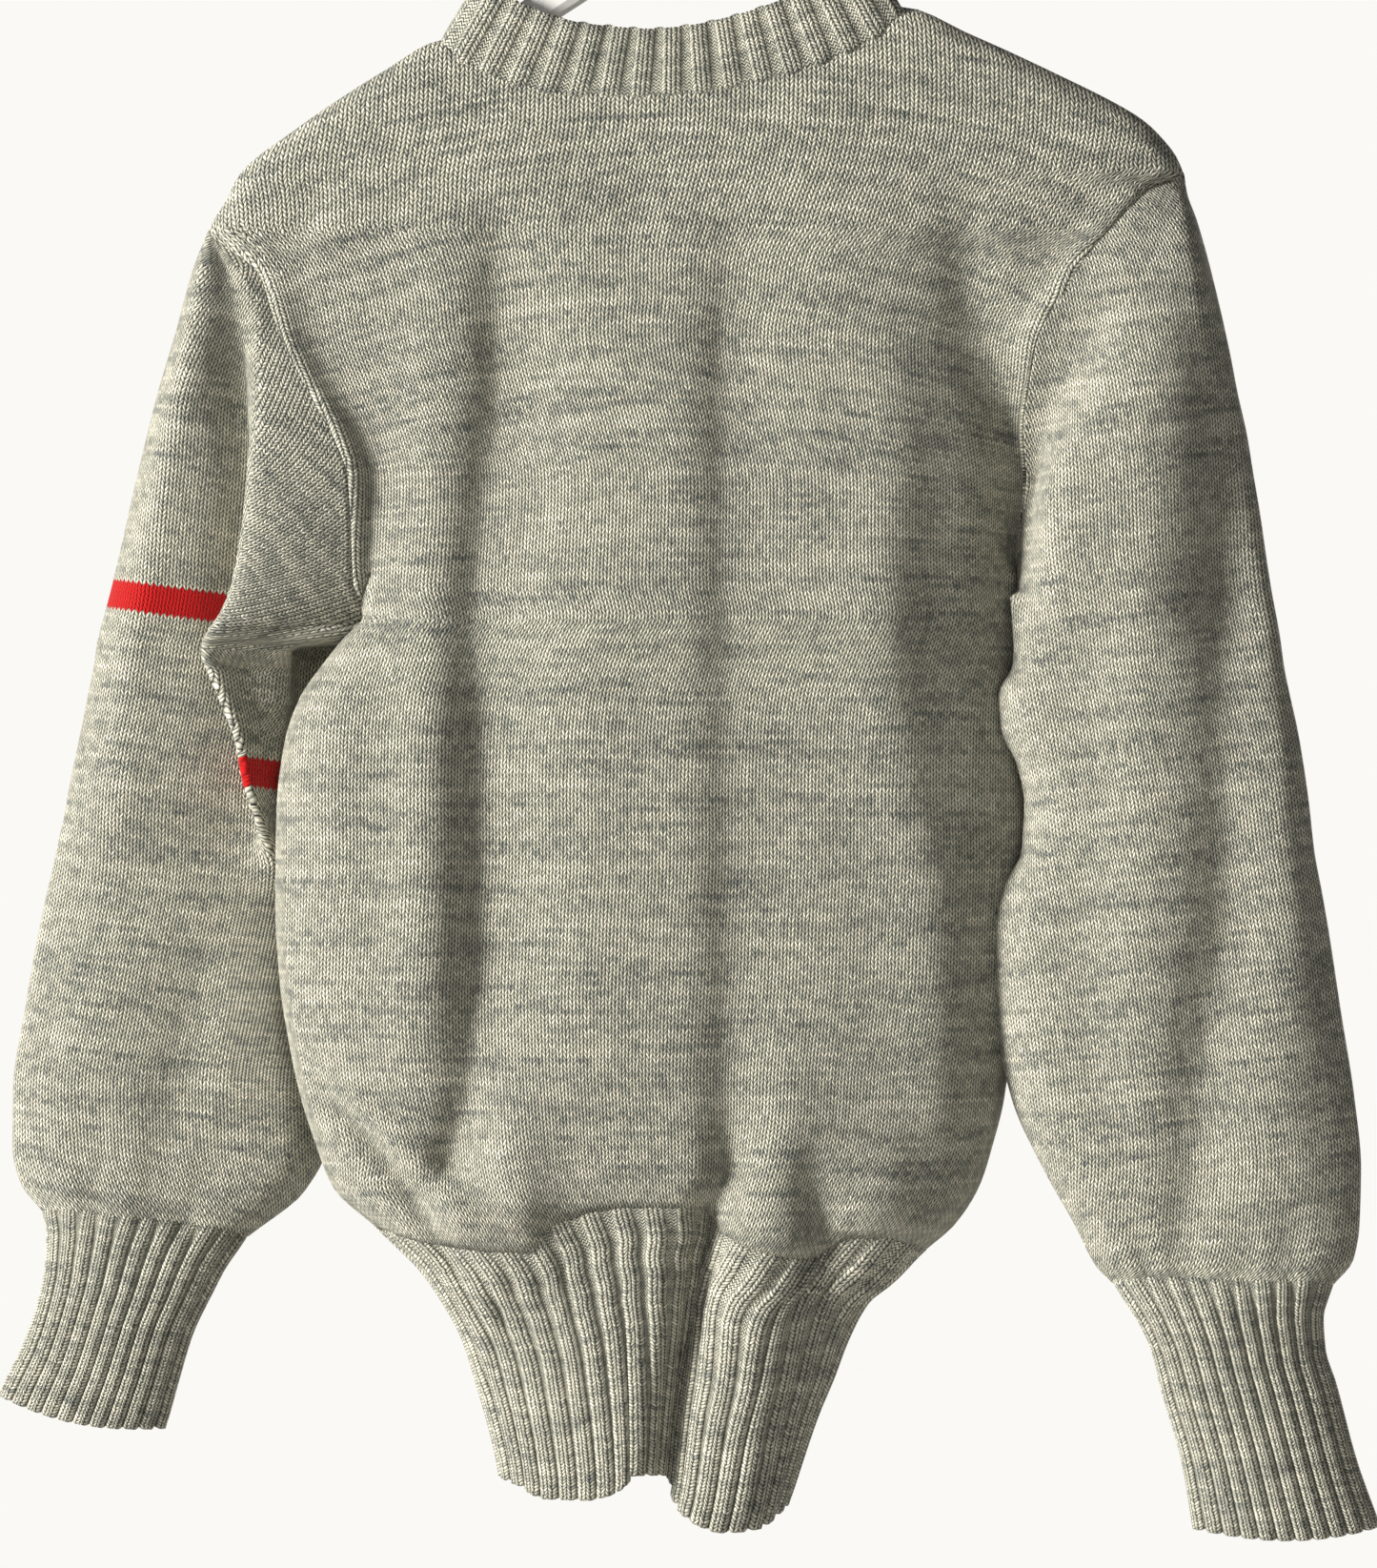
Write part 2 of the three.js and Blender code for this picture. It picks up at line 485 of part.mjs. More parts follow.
// A ribbed band on a seam. rings[0] is the seam with the cloth's own thickness direction; the wall's outer points
// rise on two of every three columns, and its inside is plain.
function ribGeometry(rings, closed, turn) {
  const columns = rings[0].length;
  const next = (j) => (closed ? (j + 1) % columns : Math.min(j + 1, columns - 1));
  const before = (j) => (closed ? (j + columns - 1) % columns : Math.max(j - 1, 0));
  rings.forEach((ring, i) =>
    ring.forEach((v, j) => {
      if (v.n) return;
      const down = new THREE.Vector3().subVectors(rings[Math.min(i + 1, rings.length - 1)][j].at, rings[i - 1][j].at);
      const around = new THREE.Vector3().subVectors(ring[next(j)].at, ring[before(j)].at);
      v.n = down.cross(around).normalize().multiplyScalar(turn);
    }),
  );
  const seam = rings[0];
  seam.forEach((v, j) => {
    const along = new THREE.Vector3().subVectors(seam[next(j)].at, seam[before(j)].at).normalize();
    const away = new THREE.Vector3().crossVectors(along, v.n).multiplyScalar(turn).normalize();
    v.at = v.at.clone().addScaledVector(away, RIB_SEAM_GAP - SEAM_GAP / 2);
  });
  const position = [];
  const rows = rings.length;
  for (const inside of [false, true])
    rings.forEach((ring, i) =>
      ring.forEach((v, j) => {
        const rise = j % 3 === 0 || i === 0 ? 0 : RIB_HEIGHT;
        const p = v.at.clone().addScaledVector(v.n, inside ? -RIB_WALL : rise);
        position.push(p.x, p.y, p.z);
      }),
    );
  const id = (layer, i, j) => layer * rows * columns + i * columns + j;
  const index = [];
  const quad = (a, b, c, d) => (turn > 0 ? index.push(a, b, c, a, c, d) : index.push(a, c, b, a, d, c));
  const spans = closed ? columns : columns - 1;
  for (let j = 0; j < spans; j++) {
    const k = next(j);
    for (let i = 0; i + 1 < rows; i++) {
      quad(id(0, i, j), id(0, i + 1, j), id(0, i + 1, k), id(0, i, k));
      quad(id(1, i, j), id(1, i, k), id(1, i + 1, k), id(1, i + 1, j));
    }
    quad(id(0, 0, j), id(0, 0, k), id(1, 0, k), id(1, 0, j));
    quad(id(0, rows - 1, k), id(0, rows - 1, j), id(1, rows - 1, j), id(1, rows - 1, k));
  }
  if (!closed)
    for (let i = 0; i + 1 < rows; i++) {
      const end = columns - 1;
      quad(id(0, i + 1, 0), id(0, i, 0), id(1, i, 0), id(1, i + 1, 0));
      quad(id(0, i, end), id(0, i + 1, end), id(1, i + 1, end), id(1, i, end));
    }
  const geometry = new THREE.BufferGeometry();
  geometry.setAttribute("position", new THREE.Float32BufferAttribute(position, 3));
  geometry.setIndex(index);
  geometry.computeVertexNormals();
  return geometry;
}

const withNormals = (points, normals) =>
  points.map((p) => ({ at: p.clone(), n: normals.get(keyOf(p)).clone().normalize() }));

// Hem rib of one panel, from the body's last row down to the edge
const HEM_RIB_ROWS = [0, 0.08, 0.48, 1];
function hemRib(face, panel, normals) {
  const seam = evenly(withNormals(panel[panel.length - 1], normals), (HEM_RIBS / 2) * 3, false);
  const rings = HEM_RIB_ROWS.map((share, i) => {
    if (i === 0) return seam;
    const line = Array.from({ length: 41 }, (_, k) => {
      const across = (1 - Math.cos((Math.PI * k) / 40)) / 2;
      const top = HEM_JOIN("down", lerp(JOIN_LEFT, JOIN_RIGHT, across));
      const edge = HEM_EDGE("down", lerp(-80, 44, across));
      return { at: torso(face, across, lerp(top, edge, share), 1) };
    });
    return evenly(line, (HEM_RIBS / 2) * 3, false);
  });
  const inset = SEAM_GAP / 2;
  for (const ring of rings) {
    ring[0].at.y += face * inset;
    ring[ring.length - 1].at.y += face * inset;
  }
  return ribGeometry(rings, false, face < 0 ? 1 : -1);
}

// A cuff, from the sleeve's last row down
const CUFF_EDGE_ROUND = 4; // how far the middle of its edge hangs below its ends
function cuff(side, lastRow, normals) {
  const size = side < 0 ? LEFT_CUFF : RIGHT_CUFF;
  const span = side < 0 ? [659, 742] : [689, 797];
  const seam = evenly(withNormals(lastRow.slice(0, -1), normals), CUFF_RIBS * 3, true);
  const rings = [0, 0.12, 0.45, 1].map((share, i) => {
    if (i === 0) return seam;
    const down = lerp(span[0], span[1], share);
    const line = Array.from({ length: 60 }, (_, k) => {
      const a = (2 * Math.PI * k) / 60;
      const outer = size(side < 0 ? "left" : "right", down);
      const inner = size(side < 0 ? "right" : "left", down);
      const x = inner + ((outer - inner) * (1 - Math.cos(a))) / 2;
      const lean = (size("tilt", down) * (x - outer)) / (inner - outer);
      const round = CUFF_EDGE_ROUND * share * Math.sin(Math.PI * clamp((x - inner) / (outer - inner)));
      const y = size("middle", down) - size("half", down) * Math.sin(a);
      return { at: new THREE.Vector3(x, y, -down - lean - round) };
    });
    return evenly(line, CUFF_RIBS * 3, true);
  });
  return ribGeometry(rings, true, side < 0 ? -1 : 1);
}

// The neckband stands on the neckline of both panels and leans in over the opening
const NECK_LEAN = 2; // at the middle of the back and of the front
const NECK_RISE = table("x back", [
  [-108, 30], [-60, 31], [-10, 29], [50, 30], [93.5, 31],
]);
function neckband(back, front, normals) {
  const first = SHOULDER_COLUMNS;
  const last = SHOULDER_COLUMNS + NECK_COLUMNS.length - 1;
  const loop = [...back[0].slice(first, last), ...front[0].slice(first + 1, last + 1).reverse()];
  const seam = evenly(withNormals(loop, normals), NECK_RIBS * 3, true);
  const centre = new THREE.Vector3((NECK_LEFT + NECK_RIGHT) / 2, 0, 0);
  const rings = [0, 0.2, 1].map((share, i) => {
    if (i === 0) return seam;
    return seam.map((v) => {
      const inward = new THREE.Vector3(centre.x - v.at.x, 0, 0).multiplyScalar(1 / 100);
      const lift = NECK_RISE("back", v.at.x) * share;
      const lean = inward.multiplyScalar(lift * 0.62);
      const p = v.at.clone();
      p.x += lean.x;
      p.y -= Math.sign(v.at.y) * NECK_LEAN * share * Math.max(0, 1 - (v.at.x / 90) ** 2);
      p.z += lift;
      return { at: p };
    });
  });
  return ribGeometry(rings, true, -1);
}

// Hanger: under the shoulders its top follows the cloth from inside, and between them it rises to the hook
const HANGER_RISE = table("x down", [
  [-108, 150], [-82.5, 133.5], [-60, 117.5], [-30, 97], [-9, HANGER_APEX_DOWN], [9, HANGER_APEX_DOWN], [30, 97],
  [60, 117], [93.5, 134.5],
]);
function hangerGeometry(shoulderLine) {
  const onShoulder = (x) => {
    const i = shoulderLine.findIndex((p) => p.x >= x);
    const [a, b] = [shoulderLine[i - 1], shoulderLine[i]];
    return new THREE.Vector2(x, lerp(a.z, b.z, (x - a.x) / (b.x - a.x)) - HANGER_SEAT);
  };
  const columns = shoulderLine.map((p) => p.x).filter((x) => x > HANGER_LEFT + 3 && x < HANGER_RIGHT - 3);
  const onLeft = columns.filter((x) => x <= NECK_LEFT);
  const onRight = columns.filter((x) => x >= NECK_RIGHT);
  const between = [-96, -82.5, -60, -30, -9, 9, 30, 60, 80];
  const top = [
    ...[HANGER_LEFT, ...onLeft].map(onShoulder),
    ...between.map((x) => new THREE.Vector2(x, -HANGER_RISE("down", x))),
    ...[...onRight, HANGER_RIGHT].map(onShoulder),
  ];
  const under = top.map((p) => {
    const neck = Math.exp(-((p.x / 22) ** 2));
    return new THREE.Vector2(p.x * 0.985, p.y - HANGER_TALL * (1.05 + 0.5 * neck));
  });
  const shape = new THREE.Shape([...top, ...under.reverse()]);
  const geometry = new THREE.ExtrudeGeometry(shape, {
    depth: HANGER_THICK - 2 * HANGER_BEVEL,
    bevelThickness: HANGER_BEVEL,
    bevelSize: HANGER_BEVEL,
    bevelOffset: -HANGER_BEVEL,
    bevelSegments: 2,
  });
  return geometry.translate(0, 0, HANGER_BEVEL - HANGER_THICK / 2).rotateX(Math.PI / 2);
}

function hookGeometry() {
  const top = new THREE.Vector3(0, 0, HOOK_WIRE);
  const centreZ = top.z - HOOK_RADIUS;
  const points = [
    new THREE.Vector3(0, 0, -HANGER_APEX_DOWN + 0.3),
    new THREE.Vector3(0, 0, -HANGER_APEX_DOWN + 12),
    new THREE.Vector3(0, 0, centreZ - HOOK_RADIUS - 12),
  ];
  for (let angle = -75; angle <= 200; angle += 25) {
    const a = (angle * Math.PI) / 180;
    points.push(new THREE.Vector3(HOOK_RADIUS * Math.cos(a), 0, centreZ + HOOK_RADIUS * Math.sin(a)));
  }
  const path = new THREE.CatmullRomCurve3(points, false, "centripetal");
  const section = new THREE.Shape().absarc(0, 0, HOOK_WIRE, 0, 2 * Math.PI);
  return new THREE.ExtrudeGeometry(section, { steps: 32, curveSegments: 4, extrudePath: path, bevelEnabled: false });
}

const part = new THREE.Group();
function add(name, geometry, finish) {
  const mesh = new THREE.Mesh(geometry, new THREE.MeshStandardMaterial(finish));
  mesh.name = name;
  part.add(mesh);
}

const back = bodyPanel(-1);
const front = bodyPanel(1);
const leftSleeve = sleeve(-1);
const rightSleeve = sleeve(1);
const pieces = [
  ["back", gridFaces(back, false), "body"],
  ["front", gridFaces(front, true), "body"],
  ["sleeve_left", gridFaces(leftSleeve, true), "sleeve"],
  ["sleeve_right", gridFaces(rightSleeve, false), "sleeve"],
];
const normals = new Map();
for (const [, faces, group] of pieces) addNormals(faces, normals, group);
for (const [name, faces, group] of pieces) add(name, wallGeometry(faces, normals, WALL, group), WOOL);
add("hem_rib_back", hemRib(-1, back, normals), WOOL);
add("hem_rib_front", hemRib(1, front, normals), WOOL);
add("cuff_left", cuff(-1, leftSleeve[leftSleeve.length - 1], normals), WOOL);
add("cuff_right", cuff(1, rightSleeve[rightSleeve.length - 1], normals), WOOL);
add("neckband", neckband(back, front, normals), WOOL);
add("hanger", hangerGeometry(back[0]), PAINTED_WOOD);
add("hook", hookGeometry(), STEEL);

export default part;
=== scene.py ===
"""A knitted wool pullover on its hanger, seen from the back.

Sizes are millimetres and turn into metres when the meshes are made. "down" is the distance below the
hook's resting point, so z = -down. The garment's back faces -Y.
"""

import math
from bisect import bisect_right
from functools import lru_cache
from types import SimpleNamespace

import bmesh
import bpy
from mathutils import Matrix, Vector, noise


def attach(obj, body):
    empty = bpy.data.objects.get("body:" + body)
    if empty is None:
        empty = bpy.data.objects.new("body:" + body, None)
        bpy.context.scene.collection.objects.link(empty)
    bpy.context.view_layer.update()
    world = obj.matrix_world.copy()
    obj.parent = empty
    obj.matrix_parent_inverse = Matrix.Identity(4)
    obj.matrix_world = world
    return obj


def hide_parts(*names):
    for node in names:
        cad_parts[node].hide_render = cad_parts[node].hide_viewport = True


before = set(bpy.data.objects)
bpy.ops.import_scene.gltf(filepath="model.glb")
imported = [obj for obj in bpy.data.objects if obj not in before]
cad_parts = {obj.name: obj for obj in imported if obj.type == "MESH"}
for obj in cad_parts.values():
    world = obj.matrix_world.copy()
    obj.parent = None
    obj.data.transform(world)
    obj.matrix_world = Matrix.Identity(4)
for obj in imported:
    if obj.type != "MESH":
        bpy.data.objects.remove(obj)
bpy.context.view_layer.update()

MM = 0.001


def place(name, data):
    """A new object in the scene."""
    obj = bpy.data.objects.new(name, data)
    bpy.context.scene.collection.objects.link(obj)
    return obj


# The camera stands as the photograph's did, straight behind the garment
CAMERA_AWAY = 2.4
FRAME_TALL = 0.6909
FRAME_MIDDLE = -0.4715

camera_data = bpy.data.cameras.new("camera")
camera_data.sensor_width = 36
camera_data.lens = 36 * CAMERA_AWAY / FRAME_TALL
camera_data.clip_end = 30
camera = place("camera", camera_data)
camera.location = (0, -CAMERA_AWAY, FRAME_MIDDLE)
camera.rotation_euler = (math.radians(90), 0, 0)
bpy.context.scene.camera = camera


def lerp(a, b, t):
    return a + (b - a) * t


def clamp(t):
    return min(1.0, max(0.0, t))


def ease(t):
    t = clamp(t)
    return t * t * (3 - 2 * t)


def bell(x, width):
    return math.exp(-((x / width) ** 2))


def cubic(a, leaving, b, arriving, t):
    """A smooth step from a to b with the given slopes at its ends."""
    return (
        a * (2 * t**3 - 3 * t**2 + 1)
        + leaving * (t**3 - 2 * t**2 + t)
        + b * (3 * t**2 - 2 * t**3)
        + arriving * (t**3 - t**2)
    )


def table(names, rows):
    """A table with named columns, read by its first one along a smooth curve that never overshoots."""
    keys = [row[0] for row in rows]
    curves = {}
    for column, name in enumerate(names.split()):
        values = [row[column] for row in rows]
        slopes = [(values[j + 1] - values[j]) / (keys[j + 1] - keys[j]) for j in range(len(keys) - 1)]
        tangents = [slopes[0]]
        for before, after in zip(slopes, slopes[1:]):
            same_way = before * after > 0
            tangents.append(2 * before * after / (before + after) if same_way else 0)
        tangents.append(slopes[-1])
        curves[name] = (values, tangents)

    def read(name, at):
        values, tangents = curves[name]
        if at <= keys[0]:
            return values[0]
        if at >= keys[-1]:
            return values[-1]
        i = bisect_right(keys, at) - 1
        step = keys[i + 1] - keys[i]
        leaving, arriving = tangents[i] * step, tangents[i + 1] * step
        return cubic(values[i], leaving, values[i + 1], arriving, (at - keys[i]) / step)

    return read


# Outline of the body and the hem rib from the shoulder seam's end down
SIDE_LEFT = table("down x", [
    (229, -210), (238.5, -198), (248, -187.5), (264.5, -182), (280.5, -176), (301.5, -164.5),
    (321, -153.5), (337, -148), (353, -147), (385, -146), (399, -141), (408, -149), (420, -158.5),
    (434.5, -168.5), (453.5, -175), (483, -178.5), (525, -179), (558.5, -177), (588, -172.5),
    (609, -168), (628, -162), (647, -154.5), (665, -135), (680.5, -117.5), (697, -105.5),
    (714, -96.5), (731, -91), (764.5, -82), (775, -80),
])
SIDE_RIGHT = table("down x", [
    (203, 216.5), (208.5, 201.5), (214, 197.5), (225, 187.5), (241.5, 173.5), (258, 163.5),
    (268, 156.5), (279, 152), (292, 150), (317, 147.5), (340, 149), (361, 147.5), (387, 146),
    (420, 147), (462, 152), (500, 154), (545, 150), (578, 144), (598, 139.5), (613, 137),
    (630, 132.5), (647, 127), (663.5, 116.5), (676, 102), (689, 87.5), (697, 77.5), (714, 68),
    (731, 61.5), (747.5, 54.5), (764.5, 48.5), (781, 43), (794, 38),
])
# The shoulder line across the garment, then the two necklines cut into it
SHOULDER = table("x down", [
    (-210, 229), (-206.5, 222.5), (-201.5, 214.5), (-197, 205), (-189, 197), (-176, 187.5),
    (-160.5, 176.5), (-134, 159.5), (-108, 145.5), (93.5, 131), (123.5, 143), (159.5, 159.5),
    (193, 176.5), (201, 182), (207.5, 188.5), (213, 195.5), (216.5, 203),
])
NECK_BACK = table("x down", [
    (-108, 145.5), (-107.2, 148.2), (-93, 157.5), (-76.5, 164.5), (-51, 169.5), (-26, 170),
    (-1, 168.5), (24.5, 164.5), (54, 157), (77, 147), (92.7, 134.5), (93.5, 131),
])
NECK_FRONT = table("x down", [
    (-108, 145.5), (-107.2, 149.5), (-98, 168), (-82, 190), (-56, 208), (-8, 216), (40, 206),
    (66, 186), (83, 160), (92.7, 135.5), (93.5, 131),
])
# Where the plain knit changes to the hem rib, and the rib's bottom edge
HEM_JOIN = table("x down", [
    (-135, 665), (-112, 671), (-77.5, 673), (-62.5, 662), (-27.5, 654), (-2.5, 654), (9.5, 667),
    (32, 674.5), (51, 677), (60.5, 668), (75, 668), (102, 676),
])
HEM_EDGE = table("x down", [
    (-80, 774), (-72, 777), (-62.5, 782), (-44, 782), (-30, 778), (-25, 771), (-8, 774), (-3, 784),
    (5.5, 791.5), (19, 796), (35, 794.5), (44, 786),
])
# Depth of the back and the front from the side seams, by the distance below the shoulder line
DEPTH = table("below back front", [
    (0, 11, 11), (60, 18, 16), (150, 31, 26), (280, 42, 36), (420, 46, 41), (480, 47, 42),
    (510, 43, 38), (532, 36, 33), (640, 31, 31),
])
# The side seams stand nearer (-) or farther (+) than the hanger
SIDE_SEAM = table("down left right", [
    (229, 0, 0), (300, -5, 2), (390, -12, 3), (430, -14, 8), (560, -15, 8), (660, -8, 2),
    (790, -6, -6),
])


def soft_folds(*folds):
    """Long soft troughs (depth over 0) and ridges (under 0), each followed from its top down. A fold that
    leans is steep on its left and slow on its right. Depth and lean are 0 where they are left out."""
    return [table("down x width depth lean", [(*row, 0, 0)[:5] for row in rows]) for rows in folds]


BACK_FOLDS = soft_folds(
    [(208, -80, 18, 0, 0.2), (240, -82, 18, 6, 0.4), (281, -81, 20, 10, 0.5), (328, -84, 20, 12, 0.5),
     (396, -90, 21, 13, 0.5), (531, -90, 20, 13, 0.5), (598, -92, 18, 12, 0.4), (639, -106, 12, 10, 0.2),
     (662, -114, 9)],
    [(230, -112, 13), (320, -113, 13, -3), (540, -118, 13, -4), (640, -128, 11)],
    [(205, 18, 16, 0, 0.2), (240, 20, 17, 3, 0.3), (281, 18, 18, 6, 0.4), (328, 18, 20, 6, 0.5),
     (463, 20, 21, 5.5, 0.5), (598, 20, 19, 6, 0.4), (640, 15, 11, 9, 0.2), (690, 6, 10, 4), (720, 5, 10)],
    [(640, 10, 8), (680, 5, 9, 11), (740, -5, 9, 15), (830, -16, 9, 15)],
    [(205, 120, 13), (240, 122, 13, 6), (281, 128, 15, 8), (328, 146, 17, 10), (400, 150, 19, 12),
     (460, 154, 20)],
    [(330, 146, 17), (400, 152, 19, 13), (470, 156, 20, 18), (530, 158, 20, 17), (580, 155, 17)],
    [(250, 84, 17), (320, 90, 17, -5), (400, 86, 17, -6), (463, 92, 18, -6), (530, 106, 18, -7),
     (600, 110, 18, -6), (640, 98, 14, -3), (665, 90, 12)],
    [(600, 102, 12), (640, 100, 12, 4), (668, 94, 10)],
    [(626, 52, 6), (650, 55, 7, 2.5), (672, 58, 7, 4), (700, 60, 7)],
    [(560, 40, 18), (640, 38, 17, -6), (740, 30, 16, -7), (830, 22, 14, -7)],
    [(560, -85, 16), (630, -79, 15, -6), (676, -72, 14, -5), (700, -68, 12)],
    [(580, -166, 7), (606, -158, 8, 8), (622, -141, 8, 10), (645, -124, 8, 9), (668, -108, 7, 7),
     (690, -94, 6)],
    [(590, -148, 6), (608, -141, 6, -3), (645, -108, 7, -4), (668, -94, 6)],
    [(250, -155, 12), (330, -152, 14, -4), (480, -156, 16, -5), (600, -150, 14)],
    [(196, -150, 12), (222, -168, 9, 2.5), (250, -176, 8)],
)
FRONT_FOLDS = soft_folds(
    [(250, -70, 15), (330, -68, 15, -8), (560, -62, 15, -8), (650, -60, 14)],
    [(240, 60, 15), (340, 58, 16, -8), (590, 54, 16, -8), (690, 52, 14)],
    [(420, -8, 14), (540, -10, 14, -7), (720, -14, 14, -7), (800, -16, 14)],
    [(240, -20, 14), (340, -12, 16, 6, 0.2), (560, 2, 16, 5, 0.2), (640, 6, 12)],
    [(300, -128, 14), (420, -126, 18, 7, 0.2), (600, -118, 15)],
    [(300, 112, 14), (430, 104, 18, 7), (640, 92, 14)],
)

# Left sleeve: sections at each height. The cloth under the arm is folded forward: its fold edge is the ridge,
# the valley lies behind it, inner is the right edge of the folded strip and lobe the hidden cloth behind it.
LEFT_SLEEVE = table("down outer ridge ridgeY valley valleyY inner lobe fold drop", [
    (229, -210, -210, 0, -210, 0, -210, -210, 1, 0),
    (238.5, -213.5, -204, -8, -207, -7, -198, -198, 1, 0),
    (248, -216.5, -196, -15, -202, -13, -187.5, -187.5, 1, 0),
    (273, -223, -187, -23, -196, -19, -179, -179, 1, 0),
    (301.5, -231.5, -187, -28, -193, -17, -164.5, -164.5, 1, 0),
    (337, -241, -189, -31, -191, -11, -148, -148, 1, 0),
    (369, -249, -193, -32, -191, -5, -147, -147, 1, 0),
    (386.5, -253.5, -196.5, -32, -193, -1, -146, -146, 1, 0),
    (399, -257, -202, -32, -195, 1, -141, -146, 1, 0),
    (404, -258.5, -206, -32, -196, 2, -143, -147, 1, 0),
    (407, -259, -208, -31, -196, 2, -155, -149, 1, 0),
    (410, -260, -210, -29, -196, 2, -177, -151, 1, 0),
    (415, -260.5, -211, -23, -196, 2, -178.5, -152, 1, 0),
    (421, -261.5, -209, -17, -195, 2, -179, -153, 1, 0),
    (435, -264.5, -203.5, -16, -192, 3, -179, -155, 1, 0),
    (452, -268, -197, -16, -190, 3, -180, -163, 1, 0),
    (470, -272, -194, -16, -188, 4, -181.5, -166, 0.98, 0),
    (486, -275, -191, -15, -186, 5, -183, -169, 0.85, 0),
    (496, -277.5, -190, -13, -185, 6, -184, -170, 0.62, 0),
    (508, -280, -189, -11, -184, 6, -184, -170, 0.3, 0),
] + [
    (down, outer, -188, -8, -184, 6, -184, lobe, 0, drop)
    for down, outer, lobe, drop in (
        (530, -285, -170, 0), (571, -292.5, -170, 0), (609, -298, -164, 0), (632, -298, -163.5, 1),
        (647, -294.5, -173, 5), (659, -285, -197, 12),
    )
])
# Right sleeve: the valley runs down beside the seam, and the ridge hangs over the body's side
RIGHT_SLEEVE = table("down outer ridge ridgeY valley valleyY inner lobe fold drop", [
    (203, 216.5, 216.5, 0, 216.5, 0, 216.5, 216.5, 1, 0),
    (213.5, 218, 209, -9, 203, -9, 198, 198, 1, 0),
    (224, 221.5, 205, -16, 196, -15, 188, 188, 1, 0),
    (251, 228.5, 198, -25, 181, -21, 167.5, 167.5, 1, 0),
    (281.5, 235.5, 190, -29, 172, -18, 151.5, 151.5, 1, 0),
    (300, 239, 183, -31, 162, -13, 149, 149, 1, 0),
    (320, 243.5, 172, -31, 156, -9, 147.5, 147.5, 1, 0),
    (336, 246, 163, -32, 154.5, -7, 148.5, 148.5, 1, 0),
    (355, 249, 160, -31, 152, -10, 148, 148, 1, 0),
    (374, 251.5, 160, -30, 151, -13, 145, 146, 1, 0),
    (387.5, 253.5, 160, -30, 149, -14, 143, 144, 1, 0),
    (396, 255, 160, -30, 149, -18, 143, 146, 0.8, 0),
    (408, 257, 160, -30, 149, -22, 143, 146, 0.5, 0),
    (420, 258.5, 160, -30, 149, -25, 143, 144.5, 0.2, 0),
] + [
    (down, outer, 160, -30, 149, -26, 143, lobe, 0, drop)
    for down, outer, lobe, drop in (
        (433, 261, 137.5, 0), (447, 264, 138.5, 0), (462, 266.5, 146, 0), (480, 269, 149.5, 0),
        (502, 271.5, 148, 0), (518, 274.5, 138.5, 0), (535, 277.5, 133.5, 0), (571, 283, 136, 0),
        (609, 289, 144, 0), (640, 292, 158, 0), (664, 291.5, 172, 1), (679, 289, 180, 2),
        (689, 281, 187.5, 0),
    )
])
# Middle and half thickness of the sleeves' plain sections, and where their front face lies
LEFT_BULK = table("down middle half front", [
    (229, 0, 2, 3), (245, 2, 6, 14), (265, 4, 10, 18), (337, 9, 15, 26), (399, 13, 17, 31),
    (503, 17, 18, 34), (609, 18, 20, 38), (659, 12, 15, 28),
])
RIGHT_BULK = table("down middle half front", [
    (203, 0, 2, 3), (230, -2, 10, 12), (300, -7, 18, 19), (355, -12, 20, 15), (387, -15, 21, 8),
    (430, -19, 21, 2), (480, -22, 21, -1), (609, -21, 22, 1), (689, -17, 15, -2),
])
# Soft folds of the sleeves' back faces
LEFT_FOLDS = soft_folds(
    [(280, -214, 8), (360, -226, 10, 2.5), (450, -238, 12, 2), (560, -246, 14)],
    [(520, -210, 14), (590, -222, 13, 4), (640, -232, 9, 4), (659, -236, 6, 2)],
    [(600, -262, 10), (635, -262, 8, 3), (659, -262, 6, 3)],
    [(620, -205, 6), (645, -214, 6, 3), (659, -222, 5, 3)],
)
RIGHT_FOLDS = soft_folds(
    [(240, 214, 10), (281, 222, 12, 4, 0.2), (330, 230, 14, 5.5, 0.3), (420, 232, 15, 8, 0.3),
     (520, 232, 15, 8, 0.3), (600, 222, 14, 7.5, 0.3), (660, 218, 11, 6, 0.1), (689, 214, 8, 2)],
    [(262, 196, 10), (330, 198, 12, -3), (420, 196, 14, -4), (560, 194, 15, -5), (640, 198, 11)],
    [(420, 258, 10), (520, 262, 12, -2.5), (620, 268, 12)],
    [(640, 236, 6), (672, 240, 5, 3), (689, 242, 5, 2.5)],
    [(650, 262, 6), (676, 262, 5, 3), (689, 260, 5, 2.5)],
    [(655, 192, 6), (678, 199, 5, 2.5), (689, 203, 4, 2)],
)
# Cuffs: their two edges, half thickness and middle at each height down the outer edge, and how much lower the
# inner edge hangs
LEFT_CUFF = table("down outer inner half middle tilt", [
    (659, -285, -197, 15, 12, 12), (669, -281.5, -206, 14, 12, 13), (684, -282, -214.5, 13, 11, 14),
    (700, -285, -222, 12, 10, 14), (720, -291.5, -228, 12, 9, 14), (733, -298, -231.5, 12, 8, 14),
    (742, -302.5, -234, 12, 8, 13),
])
RIGHT_CUFF = table("down inner outer half middle tilt", [
    (689, 187.5, 281, 15, -17, 0), (704, 198.5, 275, 14, -17, 0), (719, 205.5, 276, 13, -16, 0),
    (735, 209.5, 281, 12, -15, 0), (768, 219, 290, 12, -13, 0), (797, 224, 300.5, 12, -11, 0),
])

TIP_LEFT, TIP_LEFT_DOWN = -210, 229
TIP_RIGHT, TIP_RIGHT_DOWN = 216.5, 203
NECK_LEFT, NECK_RIGHT = -108, 93.5
JOIN_LEFT, JOIN_LEFT_DOWN = -135, 665
JOIN_RIGHT, JOIN_RIGHT_DOWN = 102, 676
